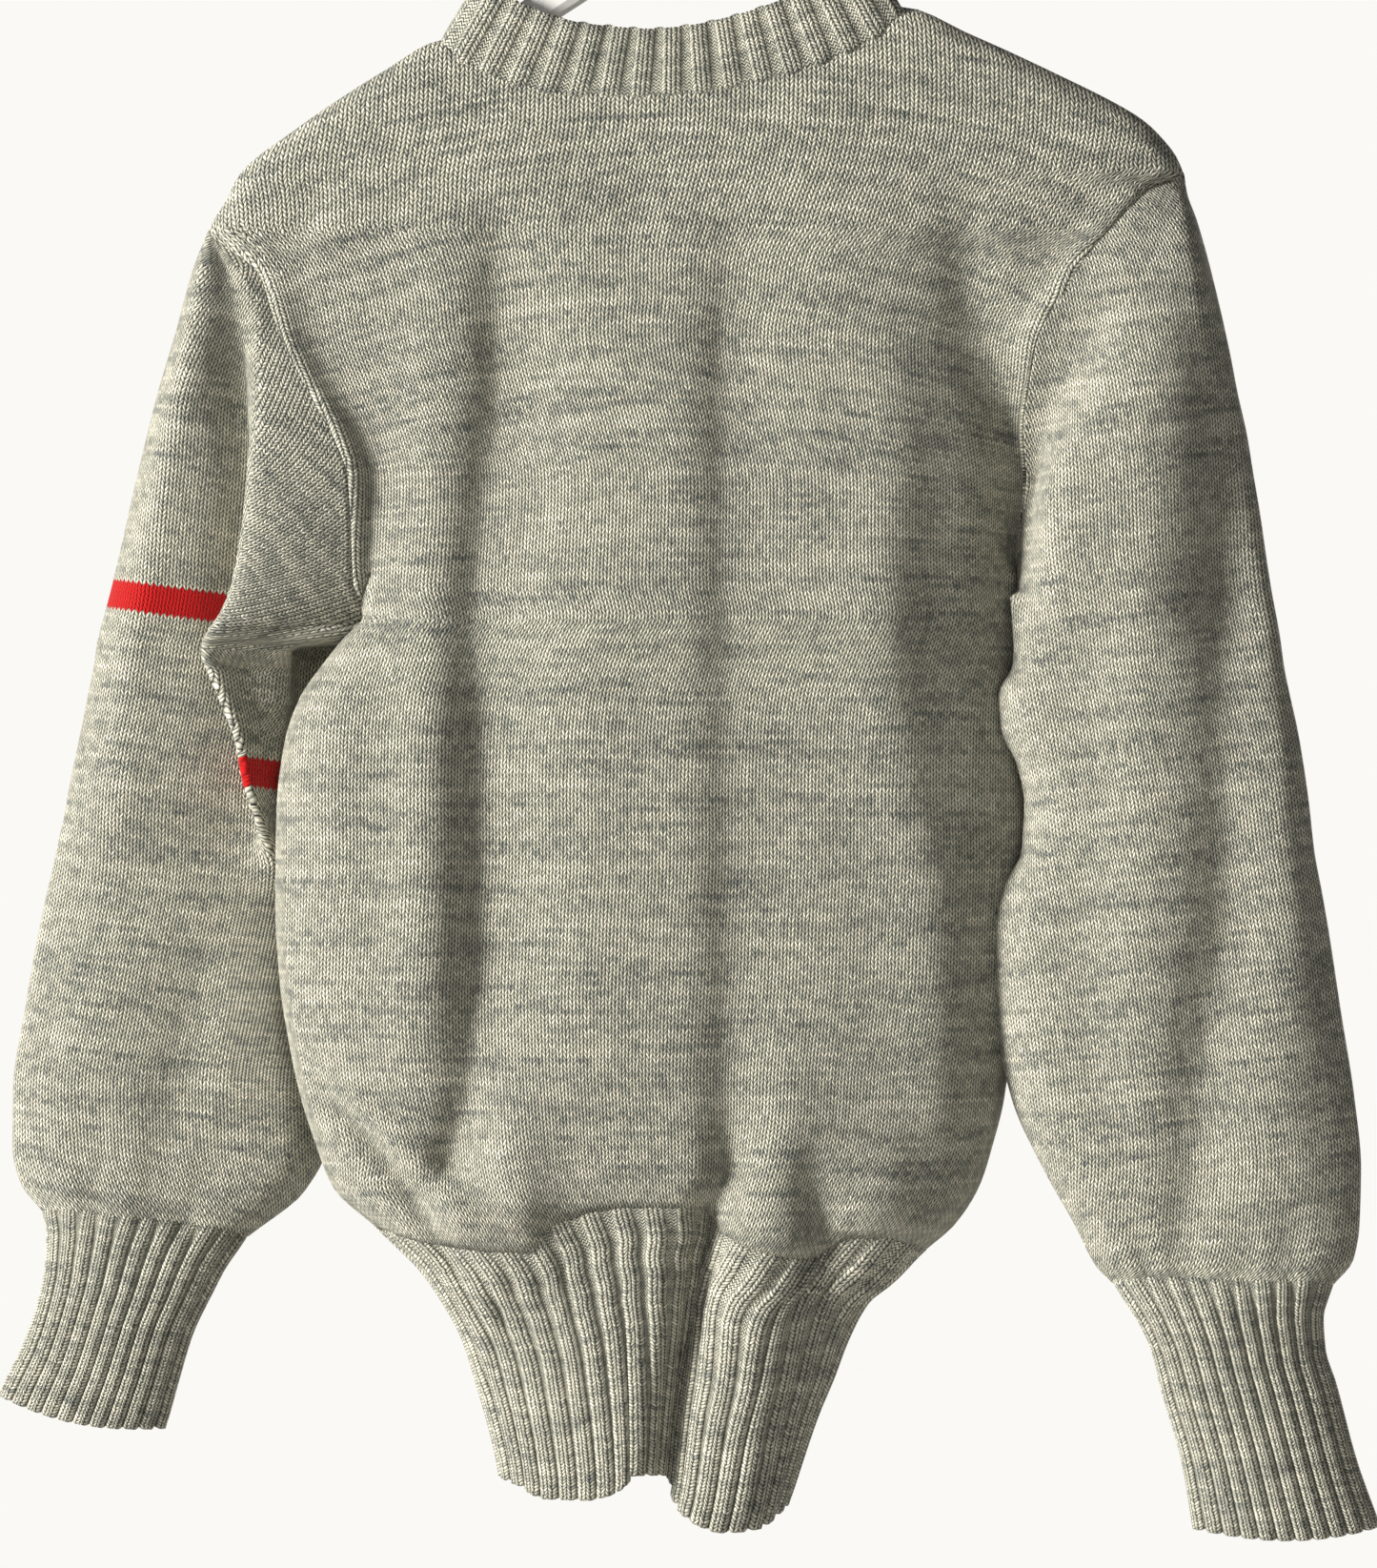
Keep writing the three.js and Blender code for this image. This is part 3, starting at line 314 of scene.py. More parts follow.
# What differs between the arms. The side is -1 for the left and 1 for the right
LEFT = SimpleNamespace(
    side=-1, sleeve=LEFT_SLEEVE, bulk=LEFT_BULK, folds=LEFT_FOLDS, cuff=LEFT_CUFF,
    tip=TIP_LEFT_DOWN, join=JOIN_LEFT_DOWN, cuff_top=659, cuff_end=742,
)
RIGHT = SimpleNamespace(
    side=1, sleeve=RIGHT_SLEEVE, bulk=RIGHT_BULK, folds=RIGHT_FOLDS, cuff=RIGHT_CUFF,
    tip=TIP_RIGHT_DOWN, join=JOIN_RIGHT_DOWN, cuff_top=689, cuff_end=797,
)
ARMHOLE_SHARE = 0.39
FOLD_RADIUS = 11
ARMHOLE_GAP = 21
ARMHOLE_ROUND = 0.55
# Low down, the right armhole's back half lies flatter
FLATTER_FROM = 262
FLATTER_OVER = 60
FLATTER_SHARE = 0.4
SEAM_BLEND = 12  # how far from an armhole the panel rises to its own depth
FULLNESS_TOP = 0.2
FULLNESS_LOW = 0.8
FULLNESS_OVER = 150
SWAY = 1.6  # height of the panels' small unevenness
SWAY_SIZE = 46
SWAY_OVER = 40  # it grows over this much below the shoulders
WALL = 2.0
RIB_WALL = 1.8

# The knitting: width of a wale, height of a course, and the same for the ribbing's courses
WALE = 3.05
COURSE = 2.08
RIB_COURSE = 1.5


def fold_at(folds, x, down):
    total = 0.0
    for fold in folds:
        depth = fold("depth", down)
        if depth:
            off = x - fold("x", down)
            lean = 1 + fold("lean", down)
            total += depth * bell(off, fold("width", down) * (lean if off > 0 else 1 / lean))
    return total


def uneven(x, y, size, seed):
    """A smooth wave without a pattern, from -1 to 1."""
    return noise.noise(Vector((x / size, y / size, seed)))


# The sides' own lines bend sharply at the sleeves' tops. The cloth inside follows these smoother ones
SIDE_LEFT_EASED = table("down x", [
    (150, -210), (180, -210), (205, -208.5), (229, -201), (245, -193), (262, -183), (280, -175.5),
    (301.5, -164.5),
])
SIDE_RIGHT_EASED = table("down x", [
    (135, 216.5), (160, 217), (180, 216), (203, 206), (225, 188.5), (241.5, 174), (258, 163.5),
    (268, 156.5),
])
EASED_UNTIL_LEFT = 301.5
EASED_UNTIL_RIGHT = 268
TURN_SHARE = 14  # how quickly the sharp bend fades away from a side
SHOULDER_HIGHEST, SHOULDER_LOWEST = 125.0, 232.0
HALVINGS = 30


def across_at(across, down):
    left = SIDE_LEFT("x", down)
    right = SIDE_RIGHT("x", down)
    left_eased = SIDE_LEFT_EASED("x", down) if down < EASED_UNTIL_LEFT else left
    right_eased = SIDE_RIGHT_EASED("x", down) if down < EASED_UNTIL_RIGHT else right
    bend = (left - left_eased) * (1 - across) ** TURN_SHARE + (right - right_eased) * across**TURN_SHARE
    return lerp(left_eased, right_eased, across) + bend


@lru_cache(maxsize=None)
def shoulder_at(across):
    """How far down the shoulder line lies where a column of the body starts."""
    high, low = SHOULDER_HIGHEST, SHOULDER_LOWEST
    for _ in range(HALVINGS):
        middle = (high + low) / 2
        if middle < SHOULDER("down", across_at(across, middle)):
            high = middle
        else:
            low = middle
    return low


def torso(face, across, down, armhole):
    """A point of the body or hem rib. face is -1 for the back and 1 for the front, across runs from the left
    side seam (0) to the right (1), and armhole is how far down the armhole the point is."""
    x = across_at(across, down)
    below = max(0.0, down - shoulder_at(across))
    turn = math.sqrt(1 - (1 - min(1.0, below / FOLD_RADIUS)) ** 2)
    deep = DEPTH("back" if face < 0 else "front", below) * turn
    gap = ARMHOLE_GAP * math.sin(math.pi * armhole) ** ARMHOLE_ROUND if 0 < armhole < 1 else 0.0
    if face < 0:
        gap *= lerp(1, FLATTER_SHARE, across * ease((down - FLATTER_FROM) / FLATTER_OVER))
    fullness = lerp(FULLNESS_TOP, FULLNESS_LOW, ease(below / FULLNESS_OVER))
    full = (2 * math.sqrt(max(0.0, across * (1 - across)))) ** fullness
    side = lerp(SIDE_SEAM("left", down), SIDE_SEAM("right", down), across)
    from_seam = min(x - SIDE_LEFT("x", down), SIDE_RIGHT("x", down) - x)
    out = lerp(deep * full, gap, bell(from_seam, SEAM_BLEND)) if gap else deep * full
    fold = fold_at(BACK_FOLDS if face < 0 else FRONT_FOLDS, x, down)
    fold += SWAY * uneven(x, down * 0.6, SWAY_SIZE, 3.7 * face) * ease(below / SWAY_OVER)
    y = side + face * out + fold * turn * full
    return Vector((x, y, -down))


SHOULDER_COLUMNS = 26
NECK_COLUMNS = 60


def spread_columns():
    """Where the body's columns stand, from its left side to its right: close at the armholes and the neck."""
    neck_start = (NECK_LEFT - TIP_LEFT) / (TIP_RIGHT - TIP_LEFT)
    neck_end = (NECK_RIGHT - TIP_LEFT) / (TIP_RIGHT - TIP_LEFT)
    shoulder = [(k / SHOULDER_COLUMNS) ** 1.5 for k in range(SHOULDER_COLUMNS)]
    neck = [k / NECK_COLUMNS for k in range(NECK_COLUMNS + 1)]
    neck[1:1] = [0.004, 0.009]
    neck[-1:-1] = [0.991, 0.996]
    return (
        [neck_start * share for share in shoulder]
        + [lerp(neck_start, neck_end, share) for share in neck]
        + [1 - (1 - neck_end) * share for share in reversed(shoulder)]
    ), len(shoulder), len(shoulder) + len(neck) - 1


COLUMNS, NECK_FIRST, NECK_LAST = spread_columns()
ARMHOLE_ROWS = 46
LOWER_ROWS = 78
ARMHOLE_SHARES = [(k / ARMHOLE_ROWS) ** 1.35 for k in range(ARMHOLE_ROWS + 1)]
BODY_SHARES = [share * ARMHOLE_SHARE for share in ARMHOLE_SHARES] + [
    lerp(ARMHOLE_SHARE, 1, (k + 1) / LOWER_ROWS) for k in range(LOWER_ROWS)
]
# How far the plain knit bulges over the hem rib
BLOUSE = table("x out", [
    (-135, 2), (-115, 6), (-92, 5.5), (-72, 3), (-50, 1.5), (-10, 1.5), (6, 3), (18, 6), (44, 6.5), (58, 3),
    (76, 3), (102, 4),
])
BLOUSE_ABOVE = 12  # the bulge's middle above the rib, and its reach
BLOUSE_REACH = 11
BLOUSE_SIDES = 8  # how soon it rises from the sides
# The linked seams' welts: their height beside their grooves, how far from the seam and how wide they are
WELT = 0.5
WELT_AWAY = 3.4
WELT_WIDE = 2.2
PANEL_WIDE = 370  # about the width of a panel between its armholes


def body_panel(face):
    neck = NECK_BACK if face < 0 else NECK_FRONT
    rows = []
    for row, share in enumerate(BODY_SHARES):
        armhole = ARMHOLE_SHARES[row] if row <= ARMHOLE_ROWS else 1
        line = []
        for column, across in enumerate(COLUMNS):
            top_x = lerp(TIP_LEFT, TIP_RIGHT, across)
            in_neck = NECK_FIRST < column < NECK_LAST
            top = neck("down", top_x) if in_neck else shoulder_at(across)
            bottom = HEM_JOIN("down", lerp(JOIN_LEFT, JOIN_RIGHT, across))
            down = lerp(top, bottom, share)
            point = torso(face, across, down, armhole)
            above_rib = bottom - down
            middle = clamp(BLOUSE_SIDES * across * (1 - across))
            point.y += face * BLOUSE("out", point.x) * middle * bell(above_rib - BLOUSE_ABOVE, BLOUSE_REACH)
            edge = min(across, 1 - across) * PANEL_WIDE
            if 0 < armhole < 1:
                point.y += face * WELT * bell(edge - WELT_AWAY, WELT_WIDE)
            line.append(point)
        rows.append(line)
    return rows


def section_curve(points, closed, steps):
    """A smooth curve through the points of one sleeve section (centripetal, so it never loops)."""
    count = len(points)
    segments = count if closed else count - 1

    def at(i):
        return points[i % count] if closed else points[min(count - 1, max(0, i))]

    made = []
    for i in range(segments):
        p0, p1, p2, p3 = at(i - 1), at(i), at(i + 1), at(i + 2)
        d1, d2, d3 = (max((b - a).length ** 0.5, 1e-4) for a, b in ((p0, p1), (p1, p2), (p2, p3)))
        if (p1 - p0).length < 1e-4:
            d1 = d2
        if (p3 - p2).length < 1e-4:
            d3 = d2
        t1 = ((p1 - p0) / d1 - (p2 - p0) / (d1 + d2) + (p2 - p1) / d2) * d2
        t2 = ((p2 - p1) / d2 - (p3 - p1) / (d2 + d3) + (p3 - p2) / d3) * d2
        made += [cubic(p1, t1, p2, t2, k / steps) for k in range(steps)]
    made.append(at(segments).copy())
    return made


# Angles round a plain section, from the seam at the inner edge over the back to the outer edge and the front
PLAIN_ANGLES = [0, 34, 64, 126, 180, 236, 280, 312, 332, 347]
FLATNESS = 0.62  # a hanging sleeve lies flatter than an ellipse
LEAN = 10.0  # its inner edge lies this much nearer to the garment's front
# The strip folded back under the left arm: how far behind the ridge its inner edge lies, above and at its end
STRIP_DEPTH = 19
STRIP_END_DEPTH = 14
STRIP_ENDS = 399
STRIP_ENDS_OVER = 16
# The left sleeve's back face stands this much nearer to the viewer than its valley, at the top and lower down
HUMP_TOP = 4
HUMP_LOW = 12
HUMP_FROM = 250
HUMP_OVER = 60
# Points of the back face and the front face, as shares of the way in from the outer edge
BACK_SHARE = 0.26
FRONT_SHARE = 0.35
FRONT_INNER_SHARE = 0.75
FRONT_STEPS = (0.35, 0.65, 0.85)  # then on to the seam
# The hidden cloth behind the strip, at its lobe and then at the strip's inner edge
LOBE_DEPTH = 32
HIDDEN_DEPTH = 22
OUTER_POINT = 4
INNER_POINT = 9
SECTION_STEPS = 9
INNER_COLUMN = INNER_POINT * SECTION_STEPS


def sleeve_section(arm, down, seam_back, seam_front):
    sleeve, bulk, is_left = arm.sleeve, arm.bulk, arm.side < 0
    outer, inner, lobe, drop = (sleeve(name, down) for name in ("outer", "inner", "lobe", "drop"))
    ridge, valley = sleeve("ridge", down), sleeve("valley", down)
    ridge_y, valley_y = sleeve("ridgeY", down), sleeve("valleyY", down)
    middle, half, front = (bulk(name, down) for name in ("middle", "half", "front"))

    def pt(x, y):
        across = (x - outer) / (lobe - outer) if abs(lobe - outer) > 1e-6 else 0
        return Vector((x, y, -down - drop * across))

    plain = []
    for angle in PLAIN_ANGLES:
        a = math.radians(angle)
        swell = math.copysign(abs(math.sin(a)) ** FLATNESS, math.sin(a))
        lean = LEAN * (1 + math.cos(a)) / 2
        plain.append(pt(lobe + (outer - lobe) * (1 - math.cos(a)) / 2, middle - half * swell + lean))
    is_open = seam_back is not None and (seam_back - seam_front).length > 0.5
    strip = (ridge + inner) / 2 if is_left else inner
    inner_y = ridge_y + lerp(STRIP_DEPTH, STRIP_END_DEPTH, ease((down - STRIP_ENDS) / STRIP_ENDS_OVER))
    strip_y = (ridge_y + inner_y) / 2 if is_left else middle + 4
    start = seam_back if seam_back is not None else pt(strip, strip_y)
    end = seam_front if is_open else start
    first = pt(ridge, ridge_y) if is_left else pt(valley, valley_y)
    second = pt(valley, valley_y) if is_left else pt(ridge, ridge_y)
    hump = lerp(HUMP_TOP, HUMP_LOW, ease((down - HUMP_FROM) / HUMP_OVER))
    back_y = (valley_y - hump if is_left else ridge_y + 1) * clamp(half / 6)
    front_inner = pt(lerp(outer, lobe, FRONT_INNER_SHARE), front - 1)
    folded = [
        start, first, second, pt(lerp(outer, second.x, BACK_SHARE), back_y), pt(outer, middle),
        pt(lerp(outer, lobe, FRONT_SHARE), front), front_inner,
    ]
    if is_open or seam_back is not None or not is_left:
        folded += [front_inner.lerp(end, t) for t in FRONT_STEPS]
    else:
        folded += [pt(lobe, LOBE_DEPTH), pt(inner + 3, HIDDEN_DEPTH), pt(inner, inner_y)]
    blend = 1 if seam_back is not None else sleeve("fold", down)
    mixed = [point.lerp(flat, 1 - blend) for point, flat in zip(folded, plain)]
    if is_open:
        mixed.append(end.copy())
    if seam_back is not None:
        mixed[0] = seam_back.copy()
    return mixed, not is_open


SLEEVE_ROW = 2.5  # height of a row of the mesh
SLEEVE_SWAY = 1.8
SLEEVE_SWAY_SIZE = 40
EDGE_FADE = 5  # folds fade out over one part in this many at both edges of a face
# The small unevenness also fades out over these distances below the shoulder's end and above the cuff
TIP_FADE = 60
CUFF_FADE = 15
VALLEY_MARGIN = 4  # the folds start this close to the valley


def sleeve_rows(arm):
    across = 0 if arm.side < 0 else 1
    width = len(PLAIN_ANGLES) * SECTION_STEPS
    rows = []
    for share in ARMHOLE_SHARES:
        down = lerp(arm.tip, arm.join, share * ARMHOLE_SHARE)
        back = torso(-1, across, down, share)
        front = torso(1, across, down, share)
        if share == 0:
            rows.append([back.copy() for _ in range(width + 1)])
            continue
        points, closed = sleeve_section(arm, down, back, front)
        rows.append(section_curve(points, closed, SECTION_STEPS))
    start = lerp(arm.tip, arm.join, ARMHOLE_SHARE)
    steps = round((arm.cuff_top - start) / SLEEVE_ROW)
    for k in range(1, steps + 1):
        down = lerp(start, arm.cuff_top, k / steps)
        points, closed = sleeve_section(arm, down, None, None)
        rows.append(section_curve(points, closed, SECTION_STEPS))
    outer_column = OUTER_POINT * SECTION_STEPS
    for row in rows:
        for column, point in enumerate(row):
            down = -point.z
            on_back = column <= outer_column
            share = column / outer_column if on_back else (width - column) / (width - outer_column)
            reach = ease(share * EDGE_FADE) * ease((1 - share) * EDGE_FADE)
            wave = uneven(point.x, down * 0.7, SLEEVE_SWAY_SIZE, 11.3 if on_back else 17.9)
            clear = ease((down - arm.tip) / TIP_FADE) * ease((arm.cuff_top - down) / CUFF_FADE)
            if on_back and abs(point.x) > abs(arm.sleeve("valley", down)) - VALLEY_MARGIN:
                point.y += fold_at(arm.folds, point.x, down) * reach
            point.y += SLEEVE_SWAY * wave * reach * clear
    return rows


def lengths(points):
    reach = [0.0]
    for before, after in zip(points, points[1:]):
        reach.append(reach[-1] + (after - before).length)
    return reach


def evenly(line, wants):
    """Points at the given shares of a polyline's length."""
    reach = lengths(line)
    made = []
    for want in wants:
        length = reach[-1] * want
        i = min(max(bisect_right(reach, length) - 1, 0), len(line) - 2)
        step = reach[i + 1] - reach[i]
        made.append(line[i].lerp(line[i + 1], (length - reach[i]) / step if step else 0))
    return made


# A rib is two raised wales and two sunk ones. Ten columns cross it, and these are their heights
RIB_PROFILE = [0.35, 0.92, 1.0, 0.94, 1.0, 0.92, 0.35, 0.0, -0.05, 0.0]
RIB_COLUMNS = len(RIB_PROFILE)
RAISED_COLUMNS = 6


def rib_shares(ribs, raised):
    """Where the columns of a ribbed band stand, when the raised wales take this share of its width."""
    places = []
    for k in range(ribs * RIB_COLUMNS + 1):
        rib, column = divmod(k, RIB_COLUMNS)
        if column <= RAISED_COLUMNS:
            inside = raised * column / RAISED_COLUMNS
        else:
            inside = lerp(raised, 1, (column - RAISED_COLUMNS) / (RIB_COLUMNS - RAISED_COLUMNS))
        places.append((rib + inside) / ribs)
    return places


RELIEF_FADE = 0.12  # the share of a band over which its ribs rise to their full height
SEAM_RELIEF = 0.35
SCALLOP = 0.9  # how much farther the raised wales hang at the edge
SCALLOP_MIDDLE = 0.6


def rib_relief(rows, turn, height):
    """Raises the ribs of a band along its own normals, from its seam on."""
    count = len(rows[0]) - 1
    moved = []
    for i, row in enumerate(rows):
        above = rows[max(i - 1, 0)]
        under = rows[min(i + 1, len(rows) - 1)]
        rise = height * lerp(SEAM_RELIEF, 1, ease(i / (len(rows) - 1) / RELIEF_FADE))
        line = []
        for j, point in enumerate(row):
            left = row[(j - 1) % count]
            right = row[(j + 1) % count]
            normal = (under[j] - above[j]).cross(right - left).normalized() * turn
            raised = RIB_PROFILE[j % RIB_COLUMNS]
            moved_to = point + normal * rise * raised
            if i == len(rows) - 1:
                moved_to.z -= SCALLOP * (raised - SCALLOP_MIDDLE)
            line.append(moved_to)
        moved.append(line)
    return moved


# Heights of the ribs in millimetres, and how many there are
HEM_RELIEF = 1.6
CUFF_RELIEF = 1.5
NECK_RELIEF = 1.2
HEM_RIBS = 22  # on each side of the garment
HEM_ROWS = 44
CUFF_RIBS = 22
CUFF_ROWS = 34
NECK_RIBS = 38
NECK_ROWS = 14
RIB_SEAM = 1.2  # how far a rib starts up under the knit that it is sewn to
HEM_SAMPLES = 160
CUFF_SAMPLES = 120
HEM_LEFT, HEM_RIGHT = -80, 44
# The raised wales' share of a rib, at the seams and at the bands' edges
RAISED_SEAM = 0.56
RAISED_HEM = 0.7
RAISED_CUFF = 0.64
RAISED_NECK = 0.6
CUFF_SAG = 4
CUFF_BLEND = 0.14  # the share of a cuff that eases from the sleeve's shape to its own


def hem_rib_rows():
    rows = []
    for i in range(HEM_ROWS + 1):
        share = i / HEM_ROWS
        ring = []
        for face in (-1, 1):
            line = []
            for k in range(HEM_SAMPLES + 1):
                across = (1 - math.cos(math.pi * k / HEM_SAMPLES)) / 2
                top = HEM_JOIN("down", lerp(JOIN_LEFT, JOIN_RIGHT, across)) - RIB_SEAM
                edge = HEM_EDGE("down", lerp(HEM_LEFT, HEM_RIGHT, across))
                line.append(torso(face, across, lerp(top, edge, share), 1))
            half = evenly(line, rib_shares(HEM_RIBS, lerp(RAISED_SEAM, RAISED_HEM, share)))
            ring += half if face < 0 else list(reversed(half))[1:]
        rows.append(ring)
    return rib_relief(rows, 1, HEM_RELIEF)


def cuff_rows(arm, last_row):
    size = arm.cuff
    rows = []
    for i in range(CUFF_ROWS + 1):
        share = i / CUFF_ROWS
        down = lerp(arm.cuff_top, arm.cuff_end, share)
        outer, inner = size("outer", down), size("inner", down)
        line = []
        for k in range(CUFF_SAMPLES + 1):
            a = 2 * math.pi * k / CUFF_SAMPLES
            x = inner + (outer - inner) * (1 - math.cos(a)) / 2
            lean = size("tilt", down) * (x - outer) / (inner - outer)
            sag = CUFF_SAG * share * math.sin(math.pi * clamp((x - inner) / (outer - inner)))
            y = size("middle", down) - size("half", down) * math.sin(a)
            line.append(Vector((x, y, -down - lean - sag)))
        places = rib_shares(CUFF_RIBS, lerp(RAISED_SEAM, RAISED_CUFF, share))
        ring = evenly(line, places)
        seam = evenly(last_row, places)
        blend = ease(1 - share / CUFF_BLEND)
        rows.append([a.lerp(b + Vector((0, 0, RIB_SEAM)), blend) for a, b in zip(ring, seam)])
    return rib_relief(rows, arm.side, CUFF_RELIEF)


NECK_RISE = table("x rise", [(-108, 30), (-60, 31), (-10, 29), (50, 30), (93.5, 31)])
NECK_HALF = 100
NECK_DRAW = 0.62  # how much the band draws in for each millimetre that it rises, at that half width
NECK_LEAN = 2  # it leans out this much in its middle
NECK_LEAN_HALF = 90


def neckband_rows(back, front):
    loop = back[0][NECK_FIRST:NECK_LAST] + list(reversed(front[0][NECK_FIRST : NECK_LAST + 1]))
    loop.append(loop[0].copy())
    centre = (NECK_LEFT + NECK_RIGHT) / 2
    rows = []
    for i in range(NECK_ROWS + 1):
        share = i / NECK_ROWS
        ring = []
        for v in evenly(loop, rib_shares(NECK_RIBS, lerp(RAISED_SEAM, RAISED_NECK, share))):
            lift = NECK_RISE("rise", v.x) * share
            p = v.copy()
            p.x += (centre - v.x) / NECK_HALF * lift * NECK_DRAW
            lean = NECK_LEAN * share * max(0.0, 1 - (v.x / NECK_LEAN_HALF) ** 2)
            p.y -= math.copysign(lean, v.y)
            p.z += lift - (1 - share)
            ring.append(p)
        rows.append(ring)
    return rib_relief(rows, -1, NECK_RELIEF)


def cloth(name, parts, material, wall):
    """One cloth piece from grids of points, with its wall inside them. Each part is its rows of points, its
    stitch coordinates and whether its faces turn over. Edges that meet are sewn."""
    mesh = bpy.data.meshes.new(name)
    bm = bmesh.new()
    stitches = bm.loops.layers.uv.new("stitches")
    for rows, coordinates, turned in parts:
        tall, wide = len(rows) - 1, len(rows[0]) - 1
        made = bmesh.ops.create_grid(bm, x_segments=wide, y_segments=tall, size=1)["verts"]
        places = {v: (round((1 - v.co.y) / 2 * tall), round((v.co.x + 1) / 2 * wide)) for v in made}
        faces = {face for v in made for face in v.link_faces}
        for face in faces:
            cell = (min(places[v][0] for v in face.verts), min(places[v][1] for v in face.verts))
            for loop in face.loops:
                loop[stitches].uv = coordinates(*places[loop.vert], *cell)
        for v in made:
            row, column = places[v]
            v.co = rows[row][column] * MM
        if turned:
            bmesh.ops.reverse_faces(bm, faces=list(faces))
    bmesh.ops.remove_doubles(bm, verts=bm.verts[:], dist=2e-5)
    bmesh.ops.dissolve_degenerate(bm, edges=bm.edges[:], dist=1e-6)
    for face in bm.faces:
        face.smooth = True
    bm.to_mesh(mesh)
    bm.free()
    mesh.materials.append(material)
    obj = place(name, mesh)
    solid = obj.modifiers.new("wall", "SOLIDIFY")
    solid.thickness = wall * MM
    solid.offset = -1
    solid.use_even_offset = False
    return obj


# Shaders
class Graph:
    """Short ways to add nodes to a tree. An input is a number, a colour or another node's output."""

    def __init__(self, tree):
        self.tree = tree

    def feed(self, sockets, inputs):
        for key, value in dict(inputs).items():
            if isinstance(value, bpy.types.NodeSocket):
                self.tree.links.new(value, sockets[key])
            else:
                sockets[key].default_value = value

    def node(self, kind, inputs=(), **settings):
        made = self.tree.nodes.new(kind)
        for key, value in settings.items():
            setattr(made, key, value)
        self.feed(made.inputs, inputs)
        return made

    def math(self, operation, a, b=0.0, c=0.0):
        return self.node("ShaderNodeMath", {0: a, 1: b, 2: c}, operation=operation).outputs[0]

    def times(self, a, b):
        return self.math("MULTIPLY", a, b)

    def scatter(self, u, v, w=0.0):
        vector = self.node("ShaderNodeCombineXYZ", {0: u, 1: v, 2: w}).outputs[0]
        return self.node("ShaderNodeTexWhiteNoise", {"Vector": vector}).outputs["Value"]

    def cloud(self, u, v, w=0.0, detail=2.0, roughness=0.5):
        vector = self.node("ShaderNodeCombineXYZ", {0: u, 1: v, 2: w}).outputs[0]
        inputs = {"Vector": vector, "Scale": 1.0, "Detail": detail, "Roughness": roughness}
        return self.node("ShaderNodeTexNoise", inputs).outputs["Fac"]

    def hump(self, value, times, shift, power):
        """1 in the middle of a span and 0 at its ends."""
        off = self.math("ABSOLUTE", self.math("MULTIPLY_ADD", value, times, shift))
        return self.math("SUBTRACT", 1.0, self.math("POWER", off, power))

    def remap(self, value, low, high, to_low=0.0, to_high=1.0, smooth=False):
        kind = "SMOOTHSTEP" if smooth else "LINEAR"
        inputs = {0: value, 1: low, 2: high, 3: to_low, 4: to_high}
        return self.node("ShaderNodeMapRange", inputs, interpolation_type=kind, clamp=True).outputs[0]

    def mix(self, factor, a, b, blend="MIX"):
        inputs = {0: factor, 6: a, 7: b}
        return self.node("ShaderNodeMix", inputs, data_type="RGBA", blend_type=blend).outputs[2]


def new_group(name, inputs, outputs, kind="NodeSocketFloat"):
    """A group of nodes. Its inputs are numbers and colours, and its outputs are all of one kind."""
    tree = bpy.data.node_groups.new(name, "ShaderNodeTree")
    for label, value in inputs.items():
        given = "NodeSocketColor" if isinstance(value, list) else "NodeSocketFloat"
        tree.interface.new_socket(label, in_out="INPUT", socket_type=given).default_value = value
    for label in outputs:
        tree.interface.new_socket(label, in_out="OUTPUT", socket_type=kind)
    graph = Graph(tree)
    return graph, graph.node("NodeGroupInput").outputs, graph.node("NodeGroupOutput").inputs


def colour(red, green, blue):
    """A colour from its 0 to 255 display values."""
    values = [v / 255 for v in (red, green, blue)]
    return [v / 12.92 if v <= 0.04045 else ((v + 0.055) / 1.055) ** 2.4 for v in values] + [1.0]


LEG_SLANT = 2.0  # a leg of a stitch rises this many courses over one wale


def stitch_group():
    """The stitches: two slanting legs make each plain one, and the sunk wales of a rib show wavy bars."""
    inputs = {"Wales": 0.0, "Courses": 0.0, "Ribbed": 0.0}
    g, given, out = new_group("Stitches", inputs, ["Height", "Row", "Wale"])
    wales, courses = given["Wales"], given["Courses"]
    drift = g.math("SUBTRACT", g.cloud(g.times(wales, 0.7), courses), 0.5)
    swayed = g.math("MULTIPLY_ADD", drift, 0.35, wales)
    wale = g.math("FLOOR", swayed)
    off = g.math("ABSOLUTE", g.math("SUBTRACT", g.math("FRACT", swayed), 0.5))
    phase = g.math("MULTIPLY_ADD", off, LEG_SLANT, courses)
    row = g.math("FLOOR", phase)
    part = g.math("FRACT", phase)
    # Across a leg, then along it
    across = g.hump(off, 4.0, -1.0, 2.0)
    along = g.hump(part, 2.0, -1.0, 2.4)
    along = g.math("MULTIPLY_ADD", along, 0.68, 0.32)
    leg = g.times(g.math("MULTIPLY_ADD", across, 0.78, 0.22), along)
    # The sunk wales: bars that wave from wale to wale
    wave = g.times(g.math("COSINE", g.times(swayed, 2 * math.pi)), 0.32)
    bar = g.hump(g.math("FRACT", g.math("ADD", courses, wave)), 2.0, -1.0, 2.0)
    in_rib = g.math("FRACT", g.times(wales, 0.25))
    sunk = g.times(g.math("GREATER_THAN", in_rib, 0.5), given["Ribbed"])
    plain = g.times(leg, g.math("SUBTRACT", 1.0, sunk))
    height = g.math("MULTIPLY_ADD", bar, sunk, plain)
    g.feed(out, {"Height": height, "Row": row, "Wale": wale})
    return g.tree


